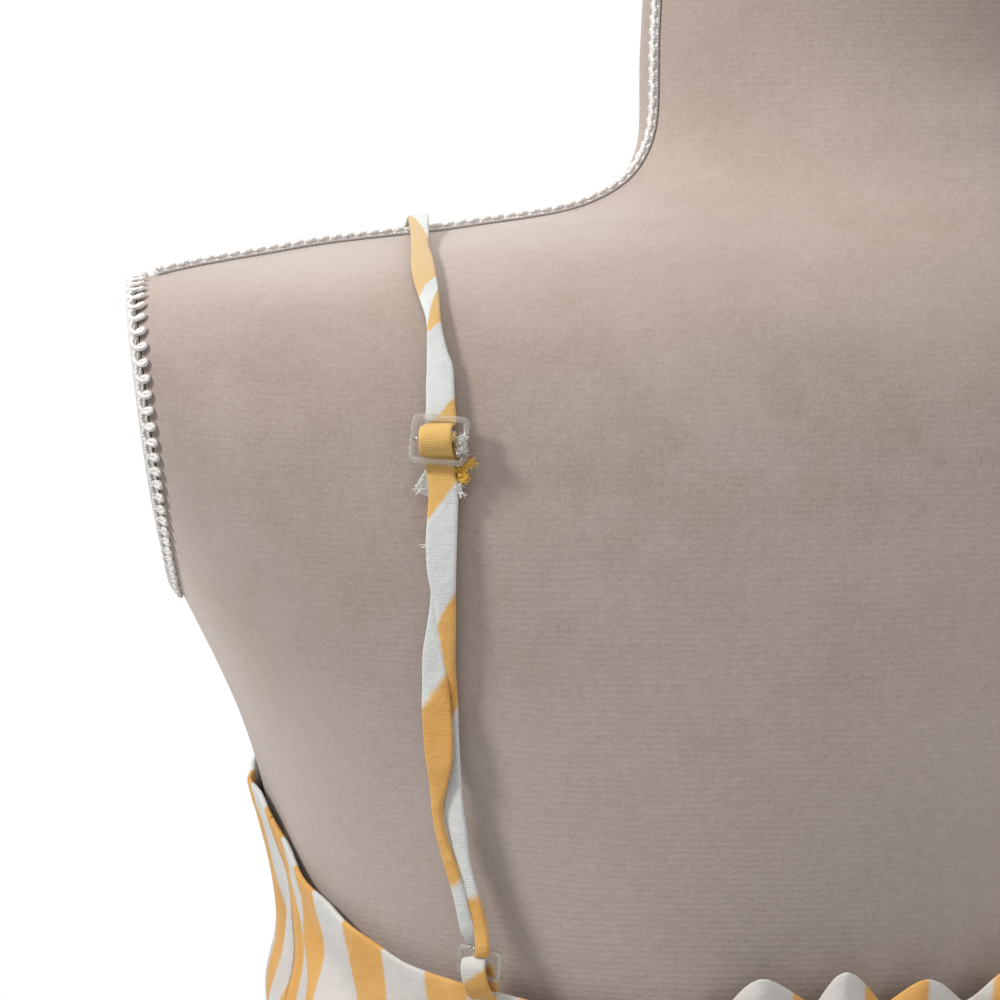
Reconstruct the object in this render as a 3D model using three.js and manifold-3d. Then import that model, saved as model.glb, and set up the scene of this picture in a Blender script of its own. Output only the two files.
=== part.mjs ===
// A striped sundress with thin doubled straps, worn by a limbless dress form on a pole and a base.
// Millimetres, +Z up, front towards -Y, the wearer's left towards +X, origin on the floor under the pole.
import * as THREE from "three";
import { mergeVertices } from "three/addons/utils/BufferGeometryUtils.js";
import Module from "manifold-3d";

const wasm = await Module();
wasm.setup();

// ---------------------------------------------------------------- driving dimensions

const GAP = 0.3; // between pieces that meet
const WALL = 1.3; // cloth of the bodice and the skirt, measured level
const WAIST_Z = 1025;
const HEM_Z = 520;
const SIDE_SEAM = 92; // degrees round from the centre front
const SHIRRED_EDGE = 140;
const HEADER = 9; // gathered frill above the casing of the elasticated panel
const STRAP_WIDE = 7.5;
const STRAP_THICK = 1.0;
const SLIDER = { wide: 13.2, tall: 11, thick: 1.3, rail: 1.3, middle: 1, cheek: 1.6, up: 118.4, lift: 4.0 };
const RING = { half: 4.95, tall: 3.2, corner: 1.1, wire: 0.65, lift: 6.2 };
const BRAID = { wide: 5, thick: 1.2 };
const ARM = { turn: 12, lean: 6.5, out: 190.4, at: 1352, plate: 2.4, inset: 0.3 };
const POLE_R = 15;
const BASE = { radius: 165, thick: 12 };

const table = (columns, rows) =>
  rows.map((row) => Object.fromEntries(columns.map((name, i) => [name, row[i]])));

// The form: level rings from the hip to the top of the neck. The shoulders dip towards front and back.
const BODY = table(["side", "fore", "aft", "half", "front", "back", "square"], [
  [742, 742, 742, 158, 88, 104, 2.2],
  [770, 770, 770, 168, 96, 114, 2.25],
  [830, 830, 830, 176, 102, 120, 2.3],
  [900, 900, 900, 163, 98, 112, 2.3],
  [965, 965, 965, 136, 90, 92, 2.25],
  [1020, 1020, 1020, 122, 85, 82, 2.2],
  [1070, 1070, 1070, 128, 88, 86, 2.2],
  [1120, 1120, 1120, 139, 94, 95, 2.2],
  [1170, 1170, 1170, 148, 100, 103, 2.25],
  [1215, 1215, 1215, 155, 103, 109, 2.3],
  [1255, 1255, 1255, 165, 104, 112, 2.3],
  [1302, 1290, 1296, 187, 100, 110, 2.2],
  [1338, 1315, 1326, 201, 92, 104, 2.0],
  [1361, 1334, 1350, 198, 85, 96, 1.75],
  [1371, 1347, 1368, 156, 79, 86, 1.55],
  [1376, 1353, 1379, 113, 75, 77, 1.55],
  [1382, 1357, 1388, 80, 72, 70, 1.7],
  [1396, 1363, 1399, 65, 70, 64, 1.9],
  [1425, 1385, 1422, 63, 67, 57, 2.0],
  [1470, 1440, 1478, 61, 64, 54, 2.0],
]);
const BUST = { out: 84, height: 1162, deep: 30, wide: 44, tall: 46, spread: 6 };

// How far the bodice hangs off the form, at the front, the side, the strap and the centre back.
const EASE = table(["height", "front", "side", "strap", "back"], [
  [1290, 3.4, 1.8, 4.6, 3],
  [1245, 3.2, 1.8, 4.6, 3],
  [1205, 2.6, 2, 4.6, 3],
  [1183, 2.6, 8, 6, 3.4],
  [1150, 4, 9, 7, 4],
  [1110, 8, 7, 6.5, 5],
  [1070, 7, 5, 5, 5],
  [1025, 3, 3, 3, 3],
]);
const EASE_AT = { front: 0, side: 90, strap: 122, back: 180 };

// The top edge of the dress, by the angle round from the centre front.
const NECKLINE = table(["angle", "height"], [
  [-20, 1243], [0, 1238], [20, 1243], [34, 1254], [46, 1260], [60, 1253], [70, 1246], [78, 1241],
  [86, 1239.5], [91, 1236], [94, 1230], [98, 1223], [103, 1218.5], [108, 1213.5], [114, 1209],
  [120, 1206.8], [130, 1203], [140, 1200],
  [160, 1200], [180, 1200], [200, 1200],
]);

// The skirt's spread between the waist and the hem, and the hem's own outline.
const SPREAD = table(["height", "share"], [
  [1070, -0.2], [1025, 0], [1000, 0.15], [950, 0.35], [890, 0.52], [800, 0.71], [670, 0.87], [520, 1],
  [400, 1.08],
]);
const HEM = { half: 268, front: 200, back: 214, square: 2.2 };

// Folds of the skirt: where each ridge runs, how wide it is in degrees, and how far it stands out at the hem.
const FOLDS = table(["angle", "wide", "reach"], [
  [4, 15, 15], [27, 17, 21], [49, 13, 13], [70, 16, 19], [88, 12, 11], [109, 16, 20], [131, 14, 15],
  [152, 16, 21], [176, 15, 17], [197, 14, 14], [219, 17, 22], [243, 15, 15], [264, 13, 18], [285, 14, 12],
  [306, 17, 20], [329, 14, 16], [347, 12, 11],
]);

// Puffs of the frill along the elasticated panel: angle, width and height of each.
const PUFFS = table(["angle", "wide", "rise"], [
  [146, 8.5, 11.5], [153.8, 7, 13.5], [162, 9, 10], [171, 9, 12], [180.5, 10, 9], [190, 8, 12], [199, 9, 9],
  [207.5, 8, 12], [215, 7, 9],
]);

// The strap's line over the left shoulder, from below the back edge up, over and down the chest.
const STRAP_LINE = table(["x", "y", "z"], [
  [122.4, 72, 1192], [124.3, 72.5, 1206], [126.3, 72.5, 1219], [129.3, 72.5, 1234], [133.5, 72, 1252],
  [137.5, 75, 1275], [138, 79, 1304], [137, 76, 1332], [135, 64, 1354], [131, 40, 1368],
  [123, 0, 1376], [116, -32, 1368], [110, -60, 1348], [105, -80, 1318], [100, -92, 1285], [95, -98, 1255],
]);
// The strap's height above the form along that line, measured from the ring up, for both of its layers.
const STRAP_RISE = table(["along", "outer", "inner", "aside"], [
  [9, 6.9, 4.9, 0], [30, 5.4, 3.6, -1.2], [60, 3.6, 2.2, -2.4], [90, 2.6, 1.3, -1.6], [108, 2.35, 1.05, 0],
  [130, 2.3, 1.05, 0], [150, 1.6, 1, 0], [190, 1.7, 1, 0], [206, 3.2, 1, 0], [216, 3.9, 1, 0], [226, 3.2, 1, 0],
  [244, 1.6, 1, 0], [345, 1.6, 1, 0], [368, 3.4, 1, 0], [390, 4, 1, 0],
]);

const LOOK = {
  striped: { color: "#e8c060", roughness: 0.85, metalness: 0 },
  clear: { color: "#e9e6dc", roughness: 0.15, metalness: 0 },
  cover: { color: "#a08c74", roughness: 0.95, metalness: 0 },
  braid: { color: "#d8cfbf", roughness: 0.85, metalness: 0 },
  plate: { color: "#c9c6c2", roughness: 0.6, metalness: 0 },
  metal: { color: "#2c2b2a", roughness: 0.45, metalness: 0 },
};

// ---------------------------------------------------------------- small tools

const rad = THREE.MathUtils.degToRad;
const lerp = THREE.MathUtils.lerp;
const clamp = THREE.MathUtils.clamp;
const V = (x, y, z) => new THREE.Vector3(x, y, z);
const range = (n, from, to) => Array.from({ length: n + 1 }, (_, i) => lerp(from, to, i / n));

// A row of a table between two of its rows, on a smooth curve through all of them.
function between(rows, t) {
  const last = rows.length - 1;
  const i = clamp(Math.floor(t), 0, last - 1);
  const f = clamp(t, 0, last) - i;
  const out = {};
  for (const name in rows[0]) {
    const b = rows[i][name];
    const c = rows[i + 1][name];
    const a = i > 0 ? rows[i - 1][name] : 2 * b - c;
    const d = i + 2 <= last ? rows[i + 2][name] : 2 * c - b;
    out[name] = b + 0.5 * f * (c - a + f * (2 * a - 5 * b + 4 * c - d + f * (3 * (b - c) + d - a)));
  }
  return out;
}

// The place in a table where one column, which only rises or only falls, has a given value.
function place(rows, column, value) {
  const rising = rows[rows.length - 1][column] > rows[0][column];
  let low = 0;
  let high = rows.length - 1;
  for (let k = 0; k < 40; k++) {
    const mid = (low + high) / 2;
    if (between(rows, mid)[column] < value === rising) low = mid;
    else high = mid;
  }
  return (low + high) / 2;
}
const lookUp = (rows, column, value) => between(rows, place(rows, column, value));

// A closed mesh from faces given as loops of points; loops may be triangles or quads.
function closed(points, faces) {
  const index = [];
  for (const f of faces) {
    for (let k = 1; k + 1 < f.length; k++) index.push(f[0], f[k], f[k + 1]);
  }
  let volume = 0;
  for (let k = 0; k < index.length; k += 3) {
    const [a, b, c] = [points[index[k]], points[index[k + 1]], points[index[k + 2]]];
    volume += a.dot(V(0, 0, 0).crossVectors(b, c));
  }
  if (volume < 0) index.reverse();
  const geometry = new THREE.BufferGeometry();
  geometry.setAttribute("position", new THREE.Float32BufferAttribute(points.flatMap((p) => p.toArray()), 3));
  geometry.setIndex(index);
  return geometry;
}

// Loops of equal length joined in order; each end is closed by a fan, or the last loop meets the first.
function loft(loops, ring = false) {
  const n = loops[0].length;
  const points = loops.flat();
  const faces = [];
  const steps = ring ? loops.length : loops.length - 1;
  for (let i = 0; i < steps; i++) {
    const a = i * n;
    const b = ((i + 1) % loops.length) * n;
    for (let j = 0; j < n; j++) {
      const k = (j + 1) % n;
      faces.push([a + j, a + k, b + k, b + j]);
    }
  }
  for (const first of ring ? [] : [0, (loops.length - 1) * n]) {
    const hub = points.length;
    points.push(points.slice(first, first + n).reduce((sum, p) => sum.add(p), V(0, 0, 0)).divideScalar(n));
    for (let j = 0; j < n; j++) {
      const pair = [first + j, first + ((j + 1) % n)];
      faces.push(first ? [hub, ...pair] : [hub, pair[1], pair[0]]);
    }
  }
  return closed(points, faces);
}

// A turned piece from its profile of [radius, height], which starts and ends on the axis.
function turned(profile, sides) {
  const points = profile.map(([r, z]) => new THREE.Vector2(r, z));
  return new THREE.LatheGeometry(points, sides).rotateX(Math.PI / 2);
}

// A panel of cloth: two grids of points, inside and outside, closed along their edges.
function wall(inner, outer) {
  const rows = inner.length;
  const columns = inner[0].length;
  const points = [...inner.flat(), ...outer.flat()];
  const half = rows * columns;
  const faces = [];
  const edge = [];
  for (let i = 0; i + 1 < rows; i++) {
    for (let j = 0; j + 1 < columns; j++) {
      const a = i * columns + j;
      const q = [a, a + 1, a + 1 + columns, a + columns];
      faces.push(q, q.map((k) => k + half).reverse());
    }
  }
  for (let j = 0; j + 1 < columns; j++) edge.push([j + 1, j]);
  for (let i = 0; i + 1 < rows; i++) {
    edge.push([i * columns, (i + 1) * columns], [(i + 2) * columns - 1, (i + 1) * columns - 1]);
  }
  for (let j = 0; j + 1 < columns; j++) edge.push([(rows - 1) * columns + j, (rows - 1) * columns + j + 1]);
  for (const [a, b] of edge) faces.push([a, b, b + half, a + half]);
  return closed(points, faces);
}

// Joins and cuts of closed solids.
function solid(geometry) {
  const bare = geometry.clone();
  bare.deleteAttribute("normal");
  bare.deleteAttribute("uv");
  const merged = mergeVertices(bare, 1e-4);
  return new wasm.Manifold(new wasm.Mesh({
    numProp: 3,
    vertProperties: new Float32Array(merged.attributes.position.array),
    triVerts: new Uint32Array(merged.index.array),
  }));
}
function geometryOf(manifold) {
  const mesh = manifold.getMesh();
  const geometry = new THREE.BufferGeometry();
  geometry.setAttribute("position", new THREE.BufferAttribute(new Float32Array(mesh.vertProperties), 3));
  geometry.setIndex(new THREE.BufferAttribute(new Uint32Array(mesh.triVerts), 1));
  return geometry;
}
const mirrored = (geometry) => {
  const copy = geometry.clone().scale(-1, 1, 1);
  copy.index.array.reverse();
  return copy;
};

// ---------------------------------------------------------------- the form's surface

// A point of the form: t counts the rings from the hip up, u turns from the front to the wearer's left.
function form(t, u) {
  const r = between(BODY, t);
  const s = Math.sin(u);
  const c = Math.cos(u);
  const power = 2 / r.square;
  let x = r.half * Math.sign(s) * Math.abs(s) ** power;
  let y = -(c > 0 ? r.front : r.back) * Math.sign(c) * Math.abs(c) ** power;
  const z = lerp(r.side, c > 0 ? r.fore : r.aft, c * c);
  const near = Math.exp(-(((Math.abs(x) - BUST.out) / BUST.wide) ** 2) - ((z - BUST.height) / BUST.tall) ** 2);
  const bust = near * clamp(1.6 * c + 0.45, 0, 1);
  y -= BUST.deep * bust;
  x += Math.sign(x) * BUST.spread * bust;
  return V(x, y, z);
}
function formNormal(t, u) {
  const d = 0.004;
  const up = form(t + d, u).sub(form(t - d, u));
  const round = form(t, u + d).sub(form(t, u - d));
  return round.cross(up).normalize();
}

// The nearest point of the form above the waist to a given point, and the way out from it.
const SEARCH = [];
for (const t of range(90, 7.5, 17)) for (const u of range(180, 0, 2 * Math.PI)) SEARCH.push([t, u, form(t, u)]);
function nearest(p) {
  let [t, u] = SEARCH.reduce((best, row) => {
    const d = row[2].distanceToSquared(p);
    return d < best[1] ? [row, d] : best;
  }, [null, Infinity])[0];
  for (let step = 0.06; step > 1e-5; step /= 2) {
    for (let moved = true; moved;) {
      moved = false;
      for (const [a, b] of [[step, 0], [-step, 0], [0, step], [0, -step]]) {
        if (form(t + a, u + b).distanceToSquared(p) < form(t, u).distanceToSquared(p) - 1e-9) {
          t += a;
          u += b;
          moved = true;
        }
      }
    }
  }
  return { point: form(t, u), out: formNormal(t, u) };
}

// Level outline of the form at a whole height, pulled taut over its hollows.
const outlines = new Map();
function outline(z) {
  if (!outlines.has(z)) {
    const pts = range(144, 0, 2 * Math.PI).slice(0, -1).map((u) => {
      let [low, high] = [4, 13];
      for (let k = 0; k < 18; k++) {
        const mid = (low + high) / 2;
        if (form(mid, u).z < z) low = mid;
        else high = mid;
      }
      return form(low, u);
    });
    pts.sort((a, b) => a.x - b.x || a.y - b.y);
    const turn = (a, b, c) => (b.x - a.x) * (c.y - a.y) - (b.y - a.y) * (c.x - a.x);
    const chain = (list) => {
      const kept = [];
      for (const p of list) {
        while (kept.length > 1 && turn(kept.at(-2), kept.at(-1), p) <= 0) kept.pop();
        kept.push(p);
      }
      return kept.slice(0, -1);
    };
    outlines.set(z, [...chain(pts), ...chain(pts.reverse())]);
  }
  return outlines.get(z);
}
function crossing(hull, dx, dy) {
  for (let i = 0; i < hull.length; i++) {
    const a = hull[i];
    const b = hull[(i + 1) % hull.length];
    const ca = dx * a.y - dy * a.x;
    const cb = dx * b.y - dy * b.x;
    if (ca <= 0 && cb > 0) {
      const f = ca / (ca - cb);
      const r = dx * lerp(a.x, b.x, f) + dy * lerp(a.y, b.y, f);
      if (r > 0) return r;
    }
  }
  throw new Error("no outline at this angle");
}
// Its radius at an angle round from the front, between whole heights.
function tautRadius(z, degrees) {
  const [dx, dy] = [Math.sin(rad(degrees)), -Math.cos(rad(degrees))];
  const step = 3;
  const k = Math.floor(z / step) * step;
  return lerp(crossing(outline(k), dx, dy), crossing(outline(k + step), dx, dy), (z - k) / step);
}

// ---------------------------------------------------------------- the dress

const folded = (degrees) => Math.abs(((degrees + 180) % 360 + 360) % 360 - 180); // 0 front to 180 back
const necklineAt = (degrees) => lookUp(NECKLINE, "angle", folded(degrees)).height;

function ease(z, degrees) {
  const row = lookUp(EASE, "height", z);
  const stops = Object.entries(EASE_AT);
  const a = folded(degrees);
  const i = clamp(stops.findIndex(([, at]) => at > a) - 1, 0, stops.length - 2);
  const last = a >= 180 ? stops.length - 2 : i;
  const [[from, a0], [to, a1]] = [stops[last], stops[last + 1]];
  const f = clamp((a - a0) / (a1 - a0), 0, 1);
  return lerp(row[from], row[to], f * f * (3 - 2 * f));
}
const bodiceRadius = (z, degrees) => tautRadius(z, degrees) + ease(z, degrees);

const bump = (away, wide) => (Math.abs(away) < wide ? Math.cos((away / wide) * (Math.PI / 2)) ** 2 : 0);
const turnTo = (a, b) => ((a - b + 540) % 360) - 180;
const puffAt = (degrees) =>
  Math.max(...PUFFS.map((p) => (bump(degrees - p.angle, p.wide / 1.6) * p.rise) / 12));

// The elasticated panel ripples; above its casing the ripples open into a frill.
function shirredRadius(z, degrees) {
  const above = clamp((z - (necklineAt(180) - 2)) / HEADER, 0, 1);
  return bodiceRadius(Math.min(z, 1206), degrees) + puffAt(degrees) * (1 + 6 * above) - above;
}
const shirredTop = (degrees) => necklineAt(180) + 5 + HEADER * puffAt(degrees);

function skirtRadius(z, degrees) {
  const share = lookUp(SPREAD, "height", z).share;
  const s = Math.abs(Math.sin(rad(degrees)));
  const c = Math.cos(rad(degrees));
  const reach = c > 0 ? HEM.front : HEM.back;
  const hem = ((s / HEM.half) ** HEM.square + (Math.abs(c) / reach) ** HEM.square) ** (-1 / HEM.square);
  const wave = FOLDS.reduce((sum, f) => sum + f.reach * bump(turnTo(degrees, f.angle), f.wide), 0) - 9;
  return lerp(bodiceRadius(WAIST_Z, degrees), hem, share) + wave * clamp(share, 0, 1) ** 1.3;
}

// A panel between two angles and two heights, its wall standing level outwards from its radius.
function panel({ from, to, columns, rows, top, bottom, radius, seamGap = GAP }) {
  const inner = [];
  const outer = [];
  for (const v of range(rows, 0, 1)) {
    const line = range(columns, from, to).map((degrees, j) => {
      const z = lerp(top(degrees) - GAP / 2, bottom + GAP / 2, v);
      const seam = j === 0 ? 1 : j === columns ? -1 : 0;
      const angle = degrees + THREE.MathUtils.radToDeg((seam * seamGap) / 2 / radius(z, degrees));
      const at = (a) => V(Math.sin(rad(a)), -Math.cos(rad(a)), 0).multiplyScalar(radius(z, a)).setZ(z);
      const along = at(angle + 0.4).sub(at(angle - 0.4)).normalize();
      return [at(angle), at(angle).addScaledVector(V(along.y, -along.x, 0), WALL)];
    });
    inner.push(line.map((pair) => pair[0]));
    outer.push(line.map((pair) => pair[1]));
  }
  return wall(inner, outer);
}

// ---------------------------------------------------------------- the strap and its hardware

// The strap's line laid on the form: for a length along it, the foot on the form and its three directions.
const lineCurve = new THREE.CatmullRomCurve3(STRAP_LINE.map((p) => V(p.x, p.y, p.z)));
const feet = range(150, 0, 1).map((f) => nearest(lineCurve.getPoint(f)));
const reachOf = [0];
feet.forEach((f, i) => i && reachOf.push(reachOf[i - 1] + f.point.distanceTo(feet[i - 1].point)));
const edgeOf = (p) => necklineAt(THREE.MathUtils.radToDeg(Math.atan2(p.x, -p.y)));
function track(s) {
  let i = reachOf.findIndex((r) => r > s) - 1;
  if (i < 0) i = s <= 0 ? 0 : reachOf.length - 2;
  const f = (s - reachOf[i]) / (reachOf[i + 1] - reachOf[i]);
  const spot = feet[i].point.clone().lerp(feet[i + 1].point, f);
  const out = feet[i].out.clone().lerp(feet[i + 1].out, f).normalize();
  const [a, b] = [Math.max(i - 3, 0), Math.min(i + 4, feet.length - 1)];
  const up = feet[b].point.clone().sub(feet[a].point);
  up.addScaledVector(out, -up.dot(out)).normalize();
  return { spot, out, up, across: up.clone().cross(out) };
}
function lengthWhere(test, from, to) {
  let [a, b] = [from, to];
  for (let k = 0; k < 40; k++) {
    const mid = (a + b) / 2;
    if (test(track(mid).spot)) b = mid;
    else a = mid;
  }
  return b;
}
const backEdge = lengthWhere((p) => p.z > edgeOf(p) + GAP, 0, 60);
const frontEdge = lengthWhere((p) => p.z < edgeOf(p) + 1, 230, reachOf.at(-1));
const ringAt = backEdge + 7.4;
const sliderAt = ringAt + SLIDER.up;

// A ribbon through [length, rise, shift] marks along the strap's line, as wide as the strap.
function ribbon(marks, wide = STRAP_WIDE) {
  const loops = marks.map(([s, rise, shift = 0], i) => {
    const a = marks[Math.max(i - 1, 0)];
    const b = marks[Math.min(i + 1, marks.length - 1)];
    const slope = new THREE.Vector2(b[0] - a[0], b[1] - a[1]).normalize();
    const { spot, out, up, across } = track(s);
    const centre = spot.addScaledVector(out, rise).addScaledVector(across, shift);
    const thick = up.multiplyScalar(-slope.y).addScaledVector(out, slope.x).multiplyScalar(STRAP_THICK / 2);
    across.multiplyScalar(wide / 2);
    return [[-1, -1], [1, -1], [1, 1], [-1, 1]].map(([p, q]) =>
      centre.clone().addScaledVector(across, p).addScaledVector(thick, q));
  });
  return loft(loops);
}
// Marks round a bar, between two angles: 0 is up the strap, 90 is away from the form.
const round = (s, rise, radius, from, to, steps) =>
  range(steps, rad(from), rad(to)).map((a) => [s + radius * Math.cos(a), rise + radius * Math.sin(a), 0]);
const riseAt = (s, layer) => {
  const row = lookUp(STRAP_RISE, "along", s - ringAt);
  return [s, row[layer], layer === "inner" ? row.aside : 0];
};

const barCorner = Math.hypot(SLIDER.middle, SLIDER.thick) / 2;
const innerTurn = barCorner + GAP + STRAP_THICK / 2; // the sewn loop's middle, round the slider's middle bar
const outerTurn = innerTurn + GAP + STRAP_THICK; // the strap's middle, over that loop
const cornerTurn = 0.95;
const railIn = SLIDER.tall / 2 - SLIDER.rail;
const railBack = -SLIDER.thick / 2;
const under = railBack - cornerTurn;
function slidersPath() {
  const at = (list) => list.map(([a, b]) => [sliderAt + a, SLIDER.lift + b, 0]);
  const past = [[railIn + 3, under], [railIn + 0.6, under], [railIn - 0.35, under + 0.1], [railIn - 0.8, -1.1]];
  const over = round(0, 0, outerTurn, 15, 165, 10).map(([a, b]) => [a, b]);
  return at([...past, ...over, ...past.map(([a, b]) => [-a, b]).reverse()]);
}
const wrapRing = STRAP_THICK / 2 + RING.wire + GAP;
function strapMarks() {
  const down = range(24, frontEdge, sliderAt + railIn + 9).map((s) => riseAt(s, "outer"));
  const lower = range(9, sliderAt - railIn - 9, ringAt + RING.tall + 6).map((s) => riseAt(s, "outer"));
  const fold = round(ringAt + RING.tall, RING.lift, wrapRing, 90, 270, 7);
  const back = range(9, ringAt + RING.tall + 6, sliderAt - railIn - 5).map((s) => riseAt(s, "inner"));
  const into = [[-railIn - 1, -2.95], [-3, -2.9], [-1.6, -2.3]]
    .map(([a, b]) => [sliderAt + a, SLIDER.lift + b, 0]);
  const loop = round(sliderAt, SLIDER.lift, innerTurn, -100, 118, 10);
  return [...down, ...slidersPath(), ...lower, ...fold, ...back, ...into, ...loop];
}
function tabMarks() {
  const bar = ringAt - RING.tall;
  const foot = backEdge + 1.7;
  const fold = round(bar, RING.lift, wrapRing, 90, -90, 7);
  const edge = ease(1205, EASE_AT.strap) + WALL / 2;
  return [[foot, edge + 0.75, 0], [foot + 1.4, RING.lift + wrapRing - 0.6, 0], ...fold,
    [foot + 1.4, RING.lift - wrapRing + 0.3, 0], [foot, edge - 0.75, 0]];
}

// A frame for the flat hardware: across, up the strap, and out from the form.
function seated(geometry, s, rise) {
  const { spot, out, up, across } = track(s);
  const frame = new THREE.Matrix4().makeBasis(across, up, out).setPosition(spot.addScaledVector(out, rise));
  return mergeVertices(geometry.applyMatrix4(frame), 1e-4);
}
function roundedBox(path, wide, tall, corner, y = 0) {
  const [w, h] = [wide / 2 - corner, tall / 2 - corner];
  const quarter = Math.PI / 2;
  path.moveTo(-w, y - h - corner);
  path.absarc(w, y - h, corner, -quarter, 0);
  path.absarc(w, y + h, corner, 0, quarter);
  path.absarc(-w, y + h, corner, quarter, 2 * quarter);
  path.absarc(-w, y - h, corner, 2 * quarter, 3 * quarter);
  return path;
}
function slider() {
  const plate = roundedBox(new THREE.Shape(), SLIDER.wide, SLIDER.tall, 1.6);
  const slot = SLIDER.tall / 2 - SLIDER.rail - SLIDER.middle / 2;
  for (const side of [-1, 1]) {
    const centre = (side * (SLIDER.middle + slot)) / 2;
    plate.holes.push(roundedBox(new THREE.Path(), SLIDER.wide - 2 * SLIDER.cheek, slot, 0.5, centre));
  }
  const geometry = new THREE.ExtrudeGeometry(plate,
    { depth: SLIDER.thick, bevelEnabled: false, curveSegments: 2 });
  geometry.translate(0, 0, -SLIDER.thick / 2).deleteAttribute("normal").deleteAttribute("uv");
  return seated(mergeVertices(geometry, 1e-4), sliderAt, SLIDER.lift);
}
function ring() {
  const path = roundedBox(new THREE.Path(), 2 * RING.half, 2 * RING.tall, RING.corner).getPoints(3);
  if (path[0].distanceTo(path.at(-1)) < 1e-6) path.pop();
  const kept = path.filter((p, i) => i === 0 || p.distanceTo(path[i - 1]) > 1e-6);
  const loops = kept.map((p, i) => {
    const side = kept[(i + 1) % kept.length].clone().sub(kept.at(i - 1)).normalize();
    return range(6, 0, 2 * Math.PI).slice(0, -1).map((a) => V(p.x + side.y * RING.wire * Math.cos(a),
      p.y - side.x * RING.wire * Math.cos(a), RING.wire * Math.sin(a)));
  });
  return seated(loft(loops, true), ringAt, RING.lift);
}

// ---------------------------------------------------------------- the form's solids

const armOut = V(Math.cos(rad(ARM.turn)) * Math.cos(rad(ARM.lean)),
  -Math.sin(rad(ARM.turn)) * Math.cos(rad(ARM.lean)), -Math.sin(rad(ARM.lean)));
const armPoint = V(ARM.out, 0, ARM.at);
const pastArm = (p) => p.clone().sub(armPoint).dot(armOut);

function torsoBlock() {
  const turns = range(46, 0, 2 * Math.PI).slice(0, -1);
  const heights = [...range(10, 0, 10), ...range(9, 10.5, 15), ...range(9, 15.4, 19)];
  const loops = heights.map((t) => turns.map((u) => form(t, u)));
  const top = loops.at(-1);
  const hub = top.reduce((sum, p) => sum.add(p), V(0, 0, 0)).divideScalar(top.length);
  for (const [share, rise] of [[0.95, 3.5], [0.8, 6]]) {
    loops.push(top.map((p) => hub.clone().lerp(p, share).add(V(0, 0, rise))));
  }
  return loft(loops);
}
function slab(side, from, thick) {
  const box = new THREE.BoxGeometry(thick, 400, 400);
  const out = armOut.clone().setX(armOut.x * side);
  const spot = armPoint.clone().setX(armPoint.x * side).addScaledVector(out, from + thick / 2);
  const turn = new THREE.Quaternion().setFromUnitVectors(V(1, 0, 0), out);
  return box.applyQuaternion(turn).translate(spot.x, spot.y, spot.z);
}

// A flat braid on the form: its middle line as points with the way out, its width across that line.
function braid(line, wide, isRing) {
  const count = line.length;
  const loops = line.map(({ point, out }, i) => {
    const next = isRing ? line[(i + 1) % count] : line[Math.min(i + 1, count - 1)];
    const last = isRing ? line.at(i - 1) : line[Math.max(i - 1, 0)];
    const across = next.point.clone().sub(last.point).cross(out).normalize().multiplyScalar(wide / 2);
    return [[-1, 0], [1, 0], [1, 1], [-1, 1]].map(([p, q]) => point.clone()
      .addScaledVector(across, p).addScaledVector(out, GAP + 0.5 + q * BRAID.thick));
  });
  return loft(loops, isRing);
}
function armholeLine() {
  const [t0, u0] = [12.5, Math.PI / 2];
  return range(34, 0, 2 * Math.PI).slice(0, -1).map((a) => {
    const spot = (r) => [t0 + 3.2 * r * Math.cos(a), u0 + 0.75 * r * Math.sin(a)];
    let [low, high] = [0, 1];
    for (let k = 0; k < 40; k++) {
      const mid = (low + high) / 2;
      if (pastArm(form(...spot(mid))) > -ARM.inset) low = mid;
      else high = mid;
    }
    return { point: form(...spot(low)), out: formNormal(...spot(low)) };
  });
}
function shoulderLine() {
  const u = Math.PI / 2;
  let t = 13;
  while (pastArm(form(t, u)) > -ARM.inset - BRAID.wide / 2 - 1.2) t += 0.01;
  return range(34, t, 18.85).map((k) => ({ point: form(k, u), out: formNormal(k, u) }));
}

// ---------------------------------------------------------------- the whole part

const part = new THREE.Group();
function add(name, geometry, look) {
  const mesh = new THREE.Mesh(geometry, new THREE.MeshStandardMaterial(LOOK[look]));
  mesh.name = name;
  part.add(mesh);
}
function addPair(name, geometry, look) {
  add(`${name}_left`, geometry, look);
  add(`${name}_right`, mirrored(geometry), look);
}

const bodice = { bottom: WAIST_Z, top: (a) => necklineAt(a) + GAP / 2, radius: bodiceRadius };
add("bodice_front", panel({ ...bodice, from: -SIDE_SEAM, to: SIDE_SEAM, columns: 34, rows: 9 }), "striped");
addPair("bodice_side_back",
  panel({ ...bodice, from: SIDE_SEAM, to: SHIRRED_EDGE, columns: 11, rows: 9 }), "striped");
add("bodice_back_shirred", panel({ from: SHIRRED_EDGE, to: 360 - SHIRRED_EDGE, columns: 42, rows: 7,
  bottom: WAIST_Z, top: shirredTop, radius: shirredRadius, seamGap: 3 * GAP }), "striped");
const skirt = { bottom: HEM_Z, top: () => WAIST_Z, radius: skirtRadius, rows: 7 };
add("skirt_front", panel({ ...skirt, from: -SIDE_SEAM, to: SIDE_SEAM, columns: 46 }), "striped");
add("skirt_back", panel({ ...skirt, from: SIDE_SEAM, to: 360 - SIDE_SEAM, columns: 44 }), "striped");
addPair("strap", ribbon(strapMarks()), "striped");
addPair("ring_tab", ribbon(tabMarks(), STRAP_WIDE - 0.8), "striped");
addPair("slider", slider(), "clear");
addPair("ring", ring(), "clear");

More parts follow.
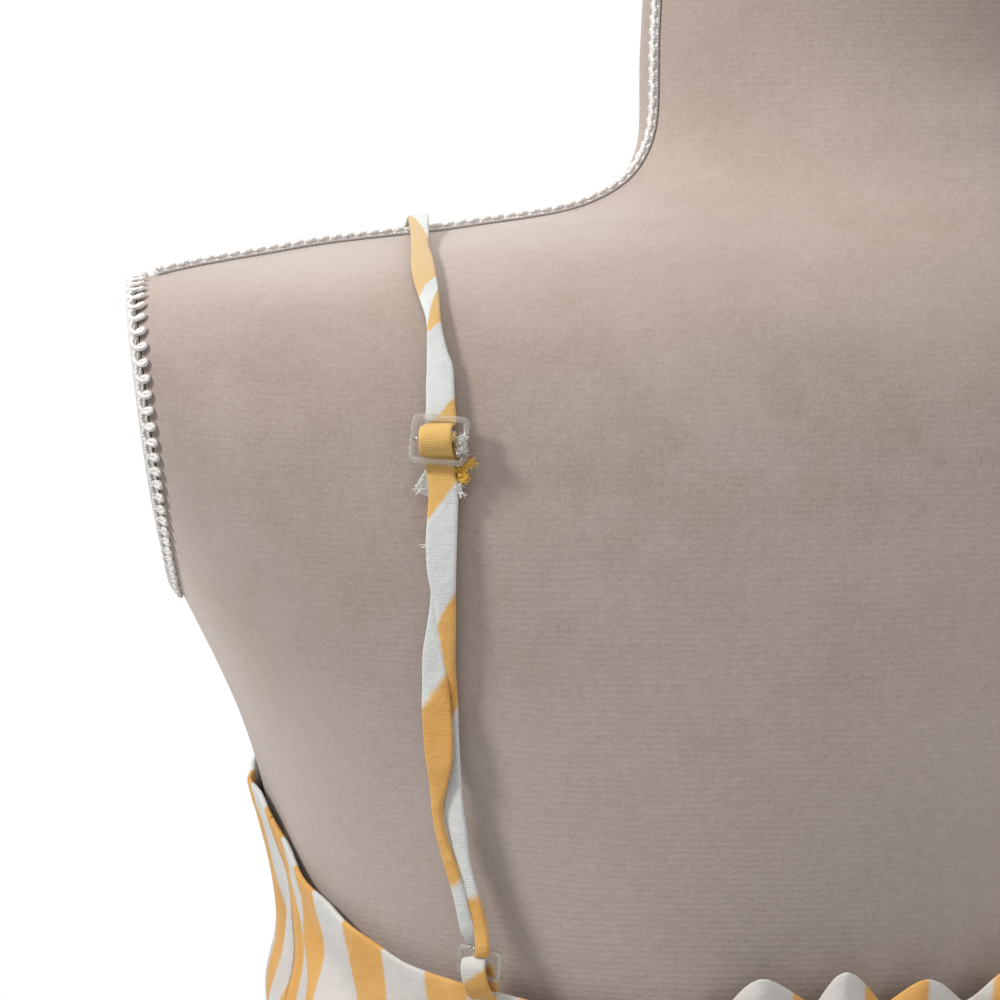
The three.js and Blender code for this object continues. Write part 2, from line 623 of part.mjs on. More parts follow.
const block = solid(torsoBlock());
const [cutLeft, cutRight] = [1, -1].map((side) => solid(slab(side, 0, 120)));
add("form_torso", geometryOf(block.subtract(cutLeft).subtract(cutRight)), "cover");
for (const [name, side] of [["left", 1], ["right", -1]]) {
  add(`form_arm_plate_${name}`, geometryOf(block.intersect(solid(slab(side, GAP, ARM.plate)))), "plate");
}
addPair("braid_armhole", braid(armholeLine(), BRAID.wide - 0.8, true), "braid");
addPair("braid_shoulder", braid(shoulderLine(), BRAID.wide, false), "braid");

const underTorso = BODY[0].side - GAP;
const hubTop = BASE.thick + 26;
add("form_pole", turned([[0, hubTop + GAP], [POLE_R, hubTop + GAP], [POLE_R, underTorso - 16],
  [22, underTorso - 6], [48, underTorso - 5], [48, underTorso], [0, underTorso]], 24), "metal");
add("form_base", turned([[0, 0], [BASE.radius - 3, 0], [BASE.radius, 3], [BASE.radius, 7],
  [BASE.radius - 5, BASE.thick - 1], [70, BASE.thick + 2], [30, BASE.thick + 8], [24, hubTop], [0, hubTop]], 40),
"metal");

export default part;
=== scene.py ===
import math

import bmesh
import bpy
import numpy as np
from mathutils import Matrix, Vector


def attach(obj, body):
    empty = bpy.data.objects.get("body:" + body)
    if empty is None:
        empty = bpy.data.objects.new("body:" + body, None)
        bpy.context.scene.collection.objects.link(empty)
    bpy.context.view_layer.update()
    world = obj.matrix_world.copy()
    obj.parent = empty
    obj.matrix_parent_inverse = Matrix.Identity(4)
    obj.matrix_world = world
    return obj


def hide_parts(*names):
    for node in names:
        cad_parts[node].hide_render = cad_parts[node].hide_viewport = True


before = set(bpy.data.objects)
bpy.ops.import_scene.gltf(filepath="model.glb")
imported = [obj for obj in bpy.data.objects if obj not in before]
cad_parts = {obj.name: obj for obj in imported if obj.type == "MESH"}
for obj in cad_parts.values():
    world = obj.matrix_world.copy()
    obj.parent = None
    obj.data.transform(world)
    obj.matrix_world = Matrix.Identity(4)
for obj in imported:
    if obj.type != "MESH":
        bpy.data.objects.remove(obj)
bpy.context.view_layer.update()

# A striped sundress on a limbless dress form. Tables are in millimetres and degrees, and a mesh is made in
# metres: +Z up, front towards -Y, the wearer's left towards +X, origin on the floor under the pole.

# ---------------------------------------------------------------- the camera
# A long lens looks at the back of the left shoulder from a little above it.
AIM = Vector((0.12548, 0.080, 1.31798))
AZIMUTH, ELEVATION, DISTANCE = math.radians(164), math.radians(6), 0.7295
away = Vector((math.sin(AZIMUTH) * math.cos(ELEVATION), -math.cos(AZIMUTH) * math.cos(ELEVATION),
               math.sin(ELEVATION)))
lens = bpy.data.cameras.new("camera")
lens.sensor_width, lens.lens, lens.clip_start, lens.clip_end = 36, 119.2, 0.05, 30
camera = bpy.data.objects.new("camera", lens)
camera.location = AIM + away * DISTANCE
camera.rotation_euler = (-away).to_track_quat("-Z", "Y").to_euler()
bpy.context.scene.collection.objects.link(camera)
bpy.context.scene.camera = camera


# ---------------------------------------------------------------- the room
# A pale painted floor and a white surround, lit as in a small studio: a key lamp from the wearer's left, and
# softer ones from above, from the front and from low behind. None of it is part of the object.
def as_mesh(name, points, faces, finish=None):
    """A smooth-shaded piece from points in metres and faces that point outwards."""
    mesh = bpy.data.meshes.new(name)
    mesh.from_pydata(np.asarray(points).tolist(), [], faces)
    mesh.update()
    mesh.shade_smooth()
    piece = bpy.data.objects.new(name, mesh)
    bpy.context.scene.collection.objects.link(piece)
    if finish:
        mesh.materials.append(finish.material)
    return piece


def paint(red, green, blue):
    """A colour as written for a screen, 0 to 255, in the renderer's own linear numbers."""
    parts = [v / 255 for v in (red, green, blue)]
    return (*(v / 12.92 if v <= 0.04045 else ((v + 0.055) / 1.055) ** 2.4 for v in parts), 1)


class Link:
    """A socket in a node tree: a sum written with it adds its own Math nodes."""

    def __init__(self, tree, socket):
        self.tree, self.socket = tree, socket

    def math(self, operation, first, second=0.0):
        return self.tree.node("ShaderNodeMath", {"operation": operation}, {0: first, 1: second})

    def __add__(self, other): return self.math("ADD", self, other)
    def __radd__(self, other): return self.math("ADD", other, self)
    def __sub__(self, other): return self.math("SUBTRACT", self, other)
    def __rsub__(self, other): return self.math("SUBTRACT", other, self)
    def __mul__(self, other): return self.math("MULTIPLY", self, other)
    def __rmul__(self, other): return self.math("MULTIPLY", other, self)
    def __truediv__(self, other): return self.math("DIVIDE", self, other)
    def __rtruediv__(self, other): return self.math("DIVIDE", other, self)
    def __pow__(self, other): return self.math("POWER", self, other)
    def __mod__(self, other): return self.math("FLOORED_MODULO", self, other)
    def __abs__(self): return self.math("ABSOLUTE", self)
    def sine(self): return self.math("SINE", self)
    def cosine(self): return self.math("COSINE", self)


class Tree:
    """A node tree, a material's or a geometry's."""

    def __init__(self, tree):
        self.tree = tree

    def node(self, kind, settings=None, sockets=None, outlet=0):
        made = self.tree.nodes.new(kind)
        for name, value in (settings or {}).items():
            if name == "stops":
                ramp = made.color_ramp.elements
                while len(ramp) < len(value):
                    ramp.new(0.5)
                for stop, (at, colour) in zip(ramp, value):
                    stop.position, stop.color = at, colour
            else:
                setattr(made, name, value)
        for name, value in (sockets or {}).items():
            if isinstance(value, Link):
                self.tree.links.new(value.socket, made.inputs[name])
            else:
                made.inputs[name].default_value = value
        if outlet is None:
            return None
        if isinstance(outlet, tuple):
            return [Link(self, made.outputs[name]) for name in outlet]
        return Link(self, made.outputs[outlet])

    def mix(self, share, first, second, blend="MIX"):
        return self.node("ShaderNodeMix", {"data_type": "RGBA", "blend_type": blend},
                         {0: share, 6: first, 7: second}, 2)

    def spread(self, value, low, high, to_low=0.0, to_high=1.0):
        return self.node("ShaderNodeMapRange", {"interpolation_type": "SMOOTHSTEP"},
                         {0: value, 1: low, 2: high, 3: to_low, 4: to_high})

    def cloud(self, where, scale, detail=2.0, rough=0.5):
        return self.node("ShaderNodeTexNoise", {}, {"Vector": where, "Scale": scale, "Detail": detail,
                                                    "Roughness": rough})


class Finish(Tree):
    """A material; its constants go on the shader's own sockets."""

    def __init__(self, name, **constants):
        self.material = bpy.data.materials.new(name)
        self.material.use_nodes = True
        super().__init__(self.material.node_tree)
        self.surface = self.tree.nodes["Principled BSDF"]
        for socket, value in constants.items():
            self.surface.inputs[socket.replace("_", " ")].default_value = value

    def place(self):
        return self.node("ShaderNodeTexCoord", outlet="Object")

    def feed(self, socket, value):
        self.tree.links.new(value.socket, self.surface.inputs[socket])

    def relief(self, height, distance, strength=1.0, under=None):
        sockets = {"Height": height, "Distance": distance, "Strength": strength}
        if under:
            sockets["Normal"] = under
        return self.node("ShaderNodeBump", {}, sockets)


floor_finish = Finish("floor paint", Roughness=0.7)
floor_finish.feed("Base Color", floor_finish.mix(floor_finish.cloud(floor_finish.place(), 3.0),
                                                 paint(236, 235, 233), paint(244, 243, 241)))
FLOOR_RADIUS, FLOOR_SIDES = 2.4, 96
rim = [(FLOOR_RADIUS * math.cos(a), FLOOR_RADIUS * math.sin(a), -0.0005)
       for a in np.linspace(0, 2 * math.pi, FLOOR_SIDES, endpoint=False)]
floor = as_mesh("floor", rim, [list(range(FLOOR_SIDES))], floor_finish)


def lamp(name, azimuth, elevation, distance, size, watts, colour=(1, 1, 1)):
    light = bpy.data.lights.new(name, "AREA")
    light.shape, light.size, light.energy, light.color = "DISK", size, watts, colour
    held = bpy.data.objects.new(name, light)
    a, e = math.radians(azimuth), math.radians(elevation)
    way = Vector((math.sin(a) * math.cos(e), -math.cos(a) * math.cos(e), math.sin(e)))
    held.location = AIM + way * distance
    held.rotation_euler = (-way).to_track_quat("-Z", "Y").to_euler()
    bpy.context.scene.collection.objects.link(held)


lamp("key lamp", 88, 36, 1.7, 0.36, 25, (1, 0.99, 0.975))
lamp("top lamp", 160, 70, 1.9, 0.9, 11, (1, 0.985, 0.965))
lamp("front lamp", -25, 35, 2.4, 1.4, 26)
lamp("low lamp", 212, 12, 2.2, 1.2, 8, (1, 0.98, 0.965))

world = bpy.data.worlds.new("surround")
world.use_nodes = True
bpy.context.scene.world = world
surround = Tree(world.node_tree)
world.node_tree.nodes.clear()
seen = surround.node("ShaderNodeLightPath", outlet="Is Camera Ray")
glow = surround.node("ShaderNodeBackground", {}, {"Color": (0.97, 0.985, 1, 1), "Strength": 0.44})
white = surround.node("ShaderNodeBackground", {}, {"Color": (1, 1, 1, 1), "Strength": 1.0})
surround.node("ShaderNodeOutputWorld", {},
              {0: surround.node("ShaderNodeMixShader", {}, {0: seen, 1: glow, 2: white})}, None)
bpy.context.scene.view_settings.view_transform = "Standard"


# ---------------------------------------------------------------- the stand
# A heavy flat steel base and a steel pole, powder coated dark grey; the pole stands in the base's hub and
# ends in a round flange under the form.
def loft(name, loops, finish, ring=False):
    """Closed loops of points in millimetres, joined in order and capped at both ends, or joined round."""
    loops = np.asarray(loops, float)
    count, n = loops.shape[:2]
    points = loops.reshape(-1, 3)
    faces = []
    for i in range(count if ring else count - 1):
        a, b = i * n, (i + 1) % count * n
        faces += [(a + j, a + (j + 1) % n, b + (j + 1) % n, b + j) for j in range(n)]
    if not ring:
        points = np.vstack([points, loops[0].mean(0), loops[-1].mean(0)])
        last = (count - 1) * n
        faces += [(count * n, (j + 1) % n, j) for j in range(n)]
        faces += [(count * n + 1, last + j, last + (j + 1) % n) for j in range(n)]
    return outwards(as_mesh(name, points / 1000, faces, finish))


def outwards(piece):
    """Turns a closed mesh's faces outwards."""
    made = bmesh.new()
    made.from_mesh(piece.data)
    if made.calc_volume(signed=True) < 0:
        bmesh.ops.reverse_faces(made, faces=made.faces)
    made.to_mesh(piece.data)
    made.free()
    return piece


def turned(name, profile, sides, finish):
    """A turned piece from its profile of radius and height, bottom centre to top centre."""
    around = np.linspace(0, 2 * math.pi, sides, endpoint=False)
    rings = [[(r * math.cos(a), r * math.sin(a), z) for a in around] for r, z in profile]
    return loft(name, rings, finish)


def rounded(corners, radius, steps=4):
    """A profile with its inner corners rounded."""
    made = [corners[0]]
    for before, corner, after in zip(corners, corners[1:], corners[2:]):
        before, corner, after = map(np.array, (before, corner, after))
        ways = [(p - corner) / np.linalg.norm(p - corner) for p in (before, after)]
        room = min(radius, *(0.45 * np.linalg.norm(p - corner) for p in (before, after)))
        start, end = (corner + way * room for way in ways)
        for f in np.linspace(0, 1, steps):
            made.append(tuple((1 - f) ** 2 * start + 2 * f * (1 - f) * corner + f * f * end))
    return made + [corners[-1]]


steel = Finish("coated steel", Roughness=0.5, Metallic=0.0, Coat_Roughness=0.3)
grit = steel.cloud(steel.place(), 2600.0, 3.0)
wear = steel.spread(steel.cloud(steel.place(), 28.0, 5.0, 0.65), 0.55, 0.75)
steel.feed("Base Color", steel.mix(wear, paint(47, 46, 45), paint(62, 60, 58)))
steel.feed("Roughness", 0.42 + grit * 0.16 - wear * 0.08)
steel.feed("Normal", steel.relief(grit, 0.00012, 0.5))
POLE_RADIUS, POLE_TOP, HUB_TOP = 15, 741.7, 38
base = turned("stand_base", rounded([(0, 0), (160, 0), (165, 3), (165, 7.5), (160, 11), (70, 14), (31, 20),
                                     (24, 30), (24, HUB_TOP), (0, HUB_TOP)], 3), 96, steel)
pole = turned("stand_pole", rounded([(0, HUB_TOP + 0.3), (POLE_RADIUS, HUB_TOP + 0.3),
                                     (POLE_RADIUS, POLE_TOP - 16), (22, POLE_TOP - 6), (48, POLE_TOP - 5),
                                     (48, POLE_TOP), (0, POLE_TOP)], 1.5), 48, steel)
for piece, node in ((base, "form_base"), (pole, "form_pole")):
    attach(piece, "root")
    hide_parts(node)


# ---------------------------------------------------------------- the form's body
# A padded body without arms or head, covered in one skin of fine brushed velour. Its nap is rubbed darker in
# patches. Its colour also carries painted light: a painted highlight along the top of the shoulders, a lighter
# tone painted below them and painted shade up the neck. The arms' ends are cut off flat.
BODY = np.array([  # side, fore, aft, half, front, back, square: level rings from the hip up
    [742, 742, 742, 158, 88, 104, 2.2], [770, 770, 770, 168, 96, 114, 2.25],
    [830, 830, 830, 176, 102, 120, 2.3], [900, 900, 900, 163, 98, 112, 2.3],
    [965, 965, 965, 136, 90, 92, 2.25], [1020, 1020, 1020, 122, 85, 82, 2.2],
    [1070, 1070, 1070, 128, 88, 86, 2.2], [1120, 1120, 1120, 139, 94, 95, 2.2],
    [1170, 1170, 1170, 148, 100, 103, 2.25], [1215, 1215, 1215, 155, 103, 109, 2.3],
    [1255, 1255, 1255, 165, 104, 112, 2.3], [1302, 1290, 1296, 187, 100, 110, 2.2],
    [1338, 1315, 1326, 201, 92, 104, 2.0], [1361, 1334, 1350, 198, 85, 96, 1.75],
    [1371, 1347, 1368, 156, 79, 86, 1.55], [1376, 1353, 1379, 113, 75, 77, 1.55],
    [1382, 1357, 1388, 80, 72, 70, 1.7], [1396, 1363, 1399, 65, 70, 64, 1.9],
    [1425, 1385, 1422, 63, 67, 57, 2.0], [1470, 1440, 1478, 61, 64, 54, 2.0]])
BUST_OUT, BUST_Z, BUST_DEEP, BUST_WIDE, BUST_TALL, BUST_SPREAD = 84, 1162, 30, 44, 46, 6
ARM_TURN, ARM_LEAN, ARM_OUT, ARM_Z = math.radians(12), math.radians(6.5), 190.4, 1352
PLATE_THICK, INSET = 2.4, 0.3
ABOVE_HIPS, PAST_NECK = 1.2, 0.09  # metres: only what is higher and further out belongs to an arm


def along(rows, t):
    """Rows of a table at places between them, on a smooth curve through all of them."""
    rows, t = np.asarray(rows, float), np.asarray(t, float)
    last = len(rows) - 1
    i = np.clip(np.floor(t).astype(int), 0, last - 1)
    f = (np.clip(t, 0, last) - i)[..., None]
    b, c = rows[i], rows[i + 1]
    a = np.where((i > 0)[..., None], rows[np.maximum(i - 1, 0)], 2 * b - c)
    d = np.where((i + 2 <= last)[..., None], rows[np.minimum(i + 2, last)], 2 * c - b)
    return b + 0.5 * f * (c - a + f * (2 * a - 5 * b + 4 * c - d + f * (3 * (b - c) + d - a)))


def form(t, u):
    """A point of the form: t counts the rings from the hip up, u turns from the front to the left."""
    side, fore, aft, half, front, back, square = np.moveaxis(along(BODY, t), -1, 0)
    s, c = np.sin(u), np.cos(u)
    x = half * np.sign(s) * np.abs(s) ** (2 / square)
    y = -np.where(c > 0, front, back) * np.sign(c) * np.abs(c) ** (2 / square)
    z = side + (np.where(c > 0, fore, aft) - side) * c * c
    near = np.exp(-((np.abs(x) - BUST_OUT) / BUST_WIDE) ** 2 - ((z - BUST_Z) / BUST_TALL) ** 2)
    bust = near * np.clip(1.6 * c + 0.45, 0, 1)
    return np.stack([x + np.sign(x) * BUST_SPREAD * bust, y - BUST_DEEP * bust, z], -1)


def unit(v):
    return v / np.linalg.norm(v, axis=-1, keepdims=True)


def form_normal(t, u, d=0.004):
    return unit(np.cross(form(t, u + d) - form(t, u - d), form(t + d, u) - form(t - d, u)))


arm_out = np.array([math.cos(ARM_TURN) * math.cos(ARM_LEAN), -math.sin(ARM_TURN) * math.cos(ARM_LEAN),
                    -math.sin(ARM_LEAN)])
arm_point = np.array([ARM_OUT, 0, ARM_Z])
TURNS = 232
turns = np.linspace(0, 2 * math.pi, TURNS, endpoint=False)
heights = np.concatenate([np.linspace(0, 10, 70), np.linspace(10.08, 15, 70), np.linspace(15.06, 19, 52)])
rings = list(form(heights[:, None] + 0 * turns, turns + 0 * heights[:, None]))
neck_hub = rings[-1].mean(0)
for share, rise in ((0.992, 0.9), (0.97, 2.2), (0.92, 4), (0.84, 5.4), (0.7, 6.4), (0.4, 7), (0.15, 7.1)):
    rings.append(neck_hub + (rings[len(heights) - 1] - neck_hub) * share + [0, 0, rise])


def cut_flat(piece, side, low, high):
    """Keeps what lies between two planes across an arm, measured outwards, and closes the cuts."""
    made = bmesh.new()
    made.from_mesh(piece.data)
    way = Vector(arm_out * [side, 1, 1])
    start = Vector(arm_point * [side, 1, 1] / 1000)
    for at, turn in ((high, 1), (low, -1)):
        if at is None:
            continue
        near = [v for v in made.verts if v.co.z > ABOVE_HIPS and v.co.x * side > PAST_NECK]
        kept = set(near)
        near += [g for g in made.edges[:] + made.faces[:] if all(v in kept for v in g.verts)]
        cut = bmesh.ops.bisect_plane(made, geom=near, dist=1e-7,
                                     plane_co=start + way * at / 1000, plane_no=way * turn, clear_outer=True)
        rim = [e for e in cut["geom_cut"] if isinstance(e, bmesh.types.BMEdge)]
        for edge in rim:
            edge.smooth = False
        filled = bmesh.ops.contextual_create(made, geom=rim)
        for face in filled["faces"]:
            face.smooth = False
        bmesh.ops.triangulate(made, faces=filled["faces"])
    bmesh.ops.recalc_face_normals(made, faces=made.faces)
    made.to_mesh(piece.data)
    made.free()


def keep_end(piece, side):
    """Leaves only the slice at one arm: whatever still hangs together with the body's axis goes."""
    made = bmesh.new()
    made.from_mesh(piece.data)
    gone = [v for v in made.verts if v.co.x * side < PAST_NECK or v.co.z < ABOVE_HIPS
            or (np.array(v.co) * [side, 1, 1] * 1000 - arm_point) @ arm_out < 0.25]
    bmesh.ops.delete(made, geom=gone, context="VERTS")
    made.to_mesh(piece.data)
    made.free()
    outwards(piece)


velour = Finish("brushed velour", Roughness=0.95, Sheen_Weight=0.55, Sheen_Roughness=0.45,
                Sheen_Tint=(1, 0.93, 0.87, 1), Specular_IOR_Level=0.15)
place = velour.place()
pz = velour.node("ShaderNodeSeparateXYZ", {}, {0: place}, outlet="Z")
patch = velour.spread(velour.cloud(place, 13.0, 3.0, 0.55), 0.36, 0.66)
rubbed = velour.spread(velour.cloud(place, 48.0, 4.0, 0.6), 0.4, 0.72)
speck = velour.cloud(place, 420.0, 3.0, 0.6)
fuzz = velour.cloud(place, 1500.0, 2.0, 0.7)
rib = ((pz + velour.cloud(place, 60.0) * 0.0015) * (2 * math.pi / 0.00145)).sine()
tone = velour.mix(patch, paint(171, 156, 149), paint(159, 144, 134))
tone = velour.mix(rubbed * 0.42, tone, paint(143, 127, 115))
# painted highlight: a lighter, creamier tone along the top of the shoulders, where the light falls
tone = velour.mix(velour.spread(pz, 1.33, 1.378) * 0.31, tone, paint(200, 184, 172))
# painted light and shade by height: lighter below the shoulders, darker up the neck
tone = velour.mix(velour.spread(pz, 1.335, 1.24) * 0.55, tone, paint(188, 176, 169))
tone = velour.mix(velour.spread(pz, 1.395, 1.43) * 0.4, tone, paint(146, 132, 124))
tone = velour.mix((speck - 0.5) * 0.7 + 0.5, velour.mix(0.5, tone, paint(122, 107, 98)), tone)
tone = velour.mix(velour.spread(fuzz, 0.3, 0.7) * 0.16, tone, paint(206, 192, 182))
velour.feed("Base Color", tone)
velour.feed("Roughness", 0.9 + rubbed * 0.08)
velour.feed("Normal", velour.relief(speck * 0.5 + fuzz * 0.35 + rib * 0.05, 0.0004, 0.55))

torso = loft("cover_torso", rings, velour)
for side in (1, -1):
    cut_flat(torso, side, None, 0)
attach(torso, "root")
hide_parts("form_torso")

# ---------------------------------------------------------------- the arm plates
# Two thin arm plates, covered in pale grey cloth and glued over the flat ends where the arms would be. Each
# is the slice of the body's own shape just outside its flat cut.
plate = Finish("plate cloth", Roughness=0.8, Specular_IOR_Level=0.25)
grain = plate.cloud(plate.place(), 900.0, 3.0)
plate.feed("Base Color", plate.mix(plate.spread(plate.cloud(plate.place(), 30.0, 4.0), 0.35, 0.7),
                                   paint(206, 203, 199), paint(190, 185, 180)))
plate.feed("Roughness", 0.75 + grain * 0.15)
plate.feed("Normal", plate.relief(grain, 0.00012, 0.5))
for name, side in (("left", 1), ("right", -1)):
    piece = loft(f"arm_plate_{name}", rings, plate)
    cut_flat(piece, side, 0.3, 0.3 + PLATE_THICK)
    keep_end(piece, side)
    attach(piece, "root")
    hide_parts(f"form_arm_plate_{name}")


# ---------------------------------------------------------------- the gimp braids
# White looped cotton gimp, about 4 mm wide, glued over the cover's edge round each arm plate and along the
# shoulder seam up to the top of the neck. One thin cord runs in flat loops that cross over themselves, and
# along the shoulder they lie on a soft core.
def outline_piece(name, points, outs, cyclic=False, edges=None):
    """Vertices in a line, or joined by edges, that carry their way out from the form for a tree to follow."""
    count = len(points)
    if edges is None:
        edges = [(i, i + 1) for i in range(count - 1)] + ([(count - 1, 0)] if cyclic else [])
    mesh = bpy.data.meshes.new(name)
    mesh.from_pydata((np.asarray(points) / 1000).tolist(), edges, [])
    ways = mesh.attributes.new("out", "FLOAT_VECTOR", "POINT")
    ways.data.foreach_set("vector", np.asarray(outs, float).ravel())
    piece = bpy.data.objects.new(name, mesh)
    bpy.context.scene.collection.objects.link(piece)
    return piece


def new_tree(name, inputs):
    """An empty geometry tree with its named inputs, and a way to read them."""
    group = bpy.data.node_groups.new(name, "GeometryNodeTree")
    group.interface.new_socket("Geometry", in_out="INPUT", socket_type="NodeSocketGeometry")
    for label, kind in inputs.items():
        group.interface.new_socket(label, in_out="INPUT", socket_type=f"NodeSocket{kind}")
    group.interface.new_socket("Geometry", in_out="OUTPUT", socket_type="NodeSocketGeometry")
    tree = Tree(group)
    entry = group.nodes.new("NodeGroupInput")
    return tree, {socket.name: Link(tree, socket) for socket in entry.outputs if socket.name}


def close_tree(tree, geometry, finish):
    real = tree.node("GeometryNodeRealizeInstances", {}, {0: geometry})
    done = tree.node("GeometryNodeSetMaterial", {}, {"Geometry": real, "Material": finish})
    end = tree.tree.nodes.new("NodeGroupOutput")
    tree.tree.links.new(done.socket, end.inputs[0])


def grown(piece, tree, values):
    """The piece as its tree makes it, turned into a plain mesh."""
    modifier = piece.modifiers.new("tree", "NODES")
    modifier.node_group = tree.tree
    for item in tree.tree.interface.items_tree:
        if item.in_out == "INPUT" and item.name in values:
            modifier[item.identifier] = values[item.name]
    bpy.context.view_layer.update()
    evaluated = piece.evaluated_get(bpy.context.evaluated_depsgraph_get())
    mesh = bpy.data.meshes.new_from_object(evaluated)
    piece.modifiers.clear()
    old, piece.data = piece.data, mesh
    bpy.data.meshes.remove(old)
    mesh.name = piece.name
    mesh.shade_smooth()
    return piece


def scaled(tree, vector, by):
    return tree.node("ShaderNodeVectorMath", {"operation": "SCALE"}, {0: vector, "Scale": by})


def added(tree, *vectors):
    total = vectors[0]
    for vector in vectors[1:]:
        total = tree.node("ShaderNodeVectorMath", {"operation": "ADD"}, {0: total, 1: vector})
    return total


gimp, into = new_tree("looped gimp", {"Points": "Int", "Points in a loop": "Float", "Half width": "Float",
                                      "Reach": "Float", "Cord radius": "Float", "Lift": "Float",
                                      "Finish": "Material"})
line = gimp.node("GeometryNodeMeshToCurve", {}, {0: into["Geometry"]})
line = gimp.node("GeometryNodeResampleCurve", {}, {"Curve": line, "Count": into["Points"]})
out = gimp.node("GeometryNodeInputNamedAttribute", {"data_type": "FLOAT_VECTOR"}, {"Name": "out"})
tangent = gimp.node("GeometryNodeInputTangent")
across = gimp.node("ShaderNodeVectorMath", {"operation": "CROSS_PRODUCT"}, {0: tangent, 1: out})
phase = gimp.node("GeometryNodeInputIndex") * (2 * math.pi) / into["Points in a loop"]
unsteady = gimp.node("ShaderNodeTexNoise", {}, {"Scale": 260.0, "Detail": 1.0}) * 0.5 + 0.75
shift = added(gimp, scaled(gimp, across, phase.cosine() * into["Half width"] * unsteady),
              scaled(gimp, tangent, phase.sine() * into["Reach"]),
              scaled(gimp, out, into["Lift"] + (phase + 0.9).sine() * into["Cord radius"] * 0.55))
line = gimp.node("GeometryNodeSetPosition", {}, {"Geometry": line, "Offset": shift})
cord = gimp.node("GeometryNodeCurvePrimitiveCircle", {}, {"Resolution": 6, "Radius": into["Cord radius"]})
looped = gimp.node("GeometryNodeCurveToMesh", {}, {"Curve": line, "Profile Curve": cord})
close_tree(gimp, looped, into["Finish"])

cotton = Finish("gimp cotton", Roughness=0.85, Sheen_Weight=0.3, Sheen_Roughness=0.5,
                Specular_IOR_Level=0.2)
where = cotton.place()
twist = cotton.node("ShaderNodeTexWave", {"wave_type": "BANDS", "bands_direction": "DIAGONAL"},
                    {"Vector": where, "Scale": 700.0, "Distortion": 2.0, "Detail": 1.0})
cotton.feed("Base Color", cotton.mix(twist * 0.5 + cotton.cloud(where, 90.0, 3.0) * 0.5,
                                     paint(213, 208, 205), paint(238, 236, 234)))
cotton.feed("Roughness", 0.75 + twist * 0.15)
cotton.feed("Normal", cotton.relief(twist, 0.0002, 0.6))

LOOP_POINTS = 18


def past_arm(p):
    return (p - arm_point) @ arm_out


armhole = []
for a in np.linspace(0, 2 * math.pi, 160, endpoint=False):
    low, high = 0.0, 1.0
    for _ in range(34):
        mid = (low + high) / 2
        t, u = 12.5 + 3.2 * mid * math.cos(a), math.pi / 2 + 0.75 * mid * math.sin(a)
        low, high = (mid, high) if past_arm(form(t, u)) > -INSET else (low, mid)
    armhole.append((12.5 + 3.2 * low * math.cos(a), math.pi / 2 + 0.75 * low * math.sin(a)))
seam_start = 13.0
while past_arm(form(seam_start, math.pi / 2)) > -INSET - 3.7:
    seam_start += 0.01
seam = [(t, math.pi / 2 + 0.03) for t in np.linspace(seam_start, 18.9, 220)]
MIRROR = np.array([-1, 1, 1])
for label, marks, cyclic, pitch, half, reach, radius, lift in (
        ("armhole", armhole, True, 3.6, 1.8, 1.3, 0.6, 0.95),
        ("shoulder", seam, False, 3.1, 1.9, 1.15, 0.55, 1.15)):
    t, u = np.array(marks).T
    points, outs = form(t, u), form_normal(t, u)
    reached = np.linalg.norm(np.diff(points, axis=0), axis=1).sum()
    loops = round(reached / pitch)
    for name, way in (("left", np.ones(3)), ("right", MIRROR)):
        piece = outline_piece(f"gimp_{label}_{name}", points * way, outs * way, cyclic)
        grown(piece, gimp, {"Points": loops * LOOP_POINTS, "Points in a loop": float(LOOP_POINTS),
                            "Half width": half / 1000, "Reach": reach / 1000, "Cord radius": radius / 1000,
                            "Lift": lift / 1000, "Finish": cotton.material})
        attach(piece, "root")
        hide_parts(f"braid_{label}_{name}")


t, u = np.array(seam).T
points, outs = form(t, u), form_normal(t, u)
sideways = unit(np.cross(np.gradient(points, axis=0), outs))
CORE_HALF, CORE_THICK, CORE_LIFT = 2.4, 1.6, 0.55
core_angles = np.linspace(0, 2 * math.pi, 10, endpoint=False)
wave = 1 + 0.1 * np.sin(np.arange(len(seam)) * 0.9)
core_high = (CORE_LIFT + CORE_THICK / 2 * np.sin(core_angles))[None, :] * wave[:, None]
core_loops = (points[:, None] + sideways[:, None] * (CORE_HALF * np.cos(core_angles)[None, :, None])
              + outs[:, None] * core_high[..., None])
for name, way in (("left", np.ones(3)), ("right", MIRROR)):
    piece = loft(f"gimp_core_{name}", core_loops * way, cotton)
    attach(piece, "root")


# ---------------------------------------------------------------- the bodice
# Light woven cotton in even yellow and white stripes that run up and down, cut as a front and two side
# backs, joined at the sides, with a narrow turned hem along the top edge. It hangs a little off the form.
GAP, CLOTH, WAIST_Z, HEM_Z = 0.3, 0.9, 1025, 520
SIDE_SEAM, SHIRRED_EDGE, HEADER = 92, 140, 9  # two angles round from the centre front, and the frill's height
STRIPE = 14.3
EASE = [  # height, front, side, strap, back: how far the bodice stands off the form
    [1290, 3.4, 1.8, 4.6, 3], [1245, 3.2, 1.8, 4.6, 3], [1205, 2.6, 2, 4.6, 3], [1183, 2.6, 8, 6, 3.4],
    [1150, 4, 9, 7, 4], [1110, 8, 7, 6.5, 5], [1070, 7, 5, 5, 5], [1025, 3, 3, 3, 3]]
EASE_AT = np.array([0, 90, 122, 180])
NECKLINE = [  # angle round from the centre front, height of the top edge
    [-20, 1243], [0, 1238], [20, 1243], [34, 1254], [46, 1260], [60, 1253], [70, 1246], [78, 1241],
    [86, 1239.5], [91, 1236], [94, 1230], [98, 1223], [103, 1218.5], [108, 1213.5], [114, 1209],
    [120, 1206.8], [130, 1203], [140, 1200], [160, 1200], [180, 1200], [200, 1200]]


def look_up(rows, value):
    """A table's other columns where its first one has the given values."""
    fine = along(rows, np.linspace(0, len(rows) - 1, 60 * len(rows)))
    fine = fine[np.argsort(fine[:, 0])]
    return np.stack([np.interp(value, fine[:, 0], fine[:, k]) for k in range(1, fine.shape[1])], -1)


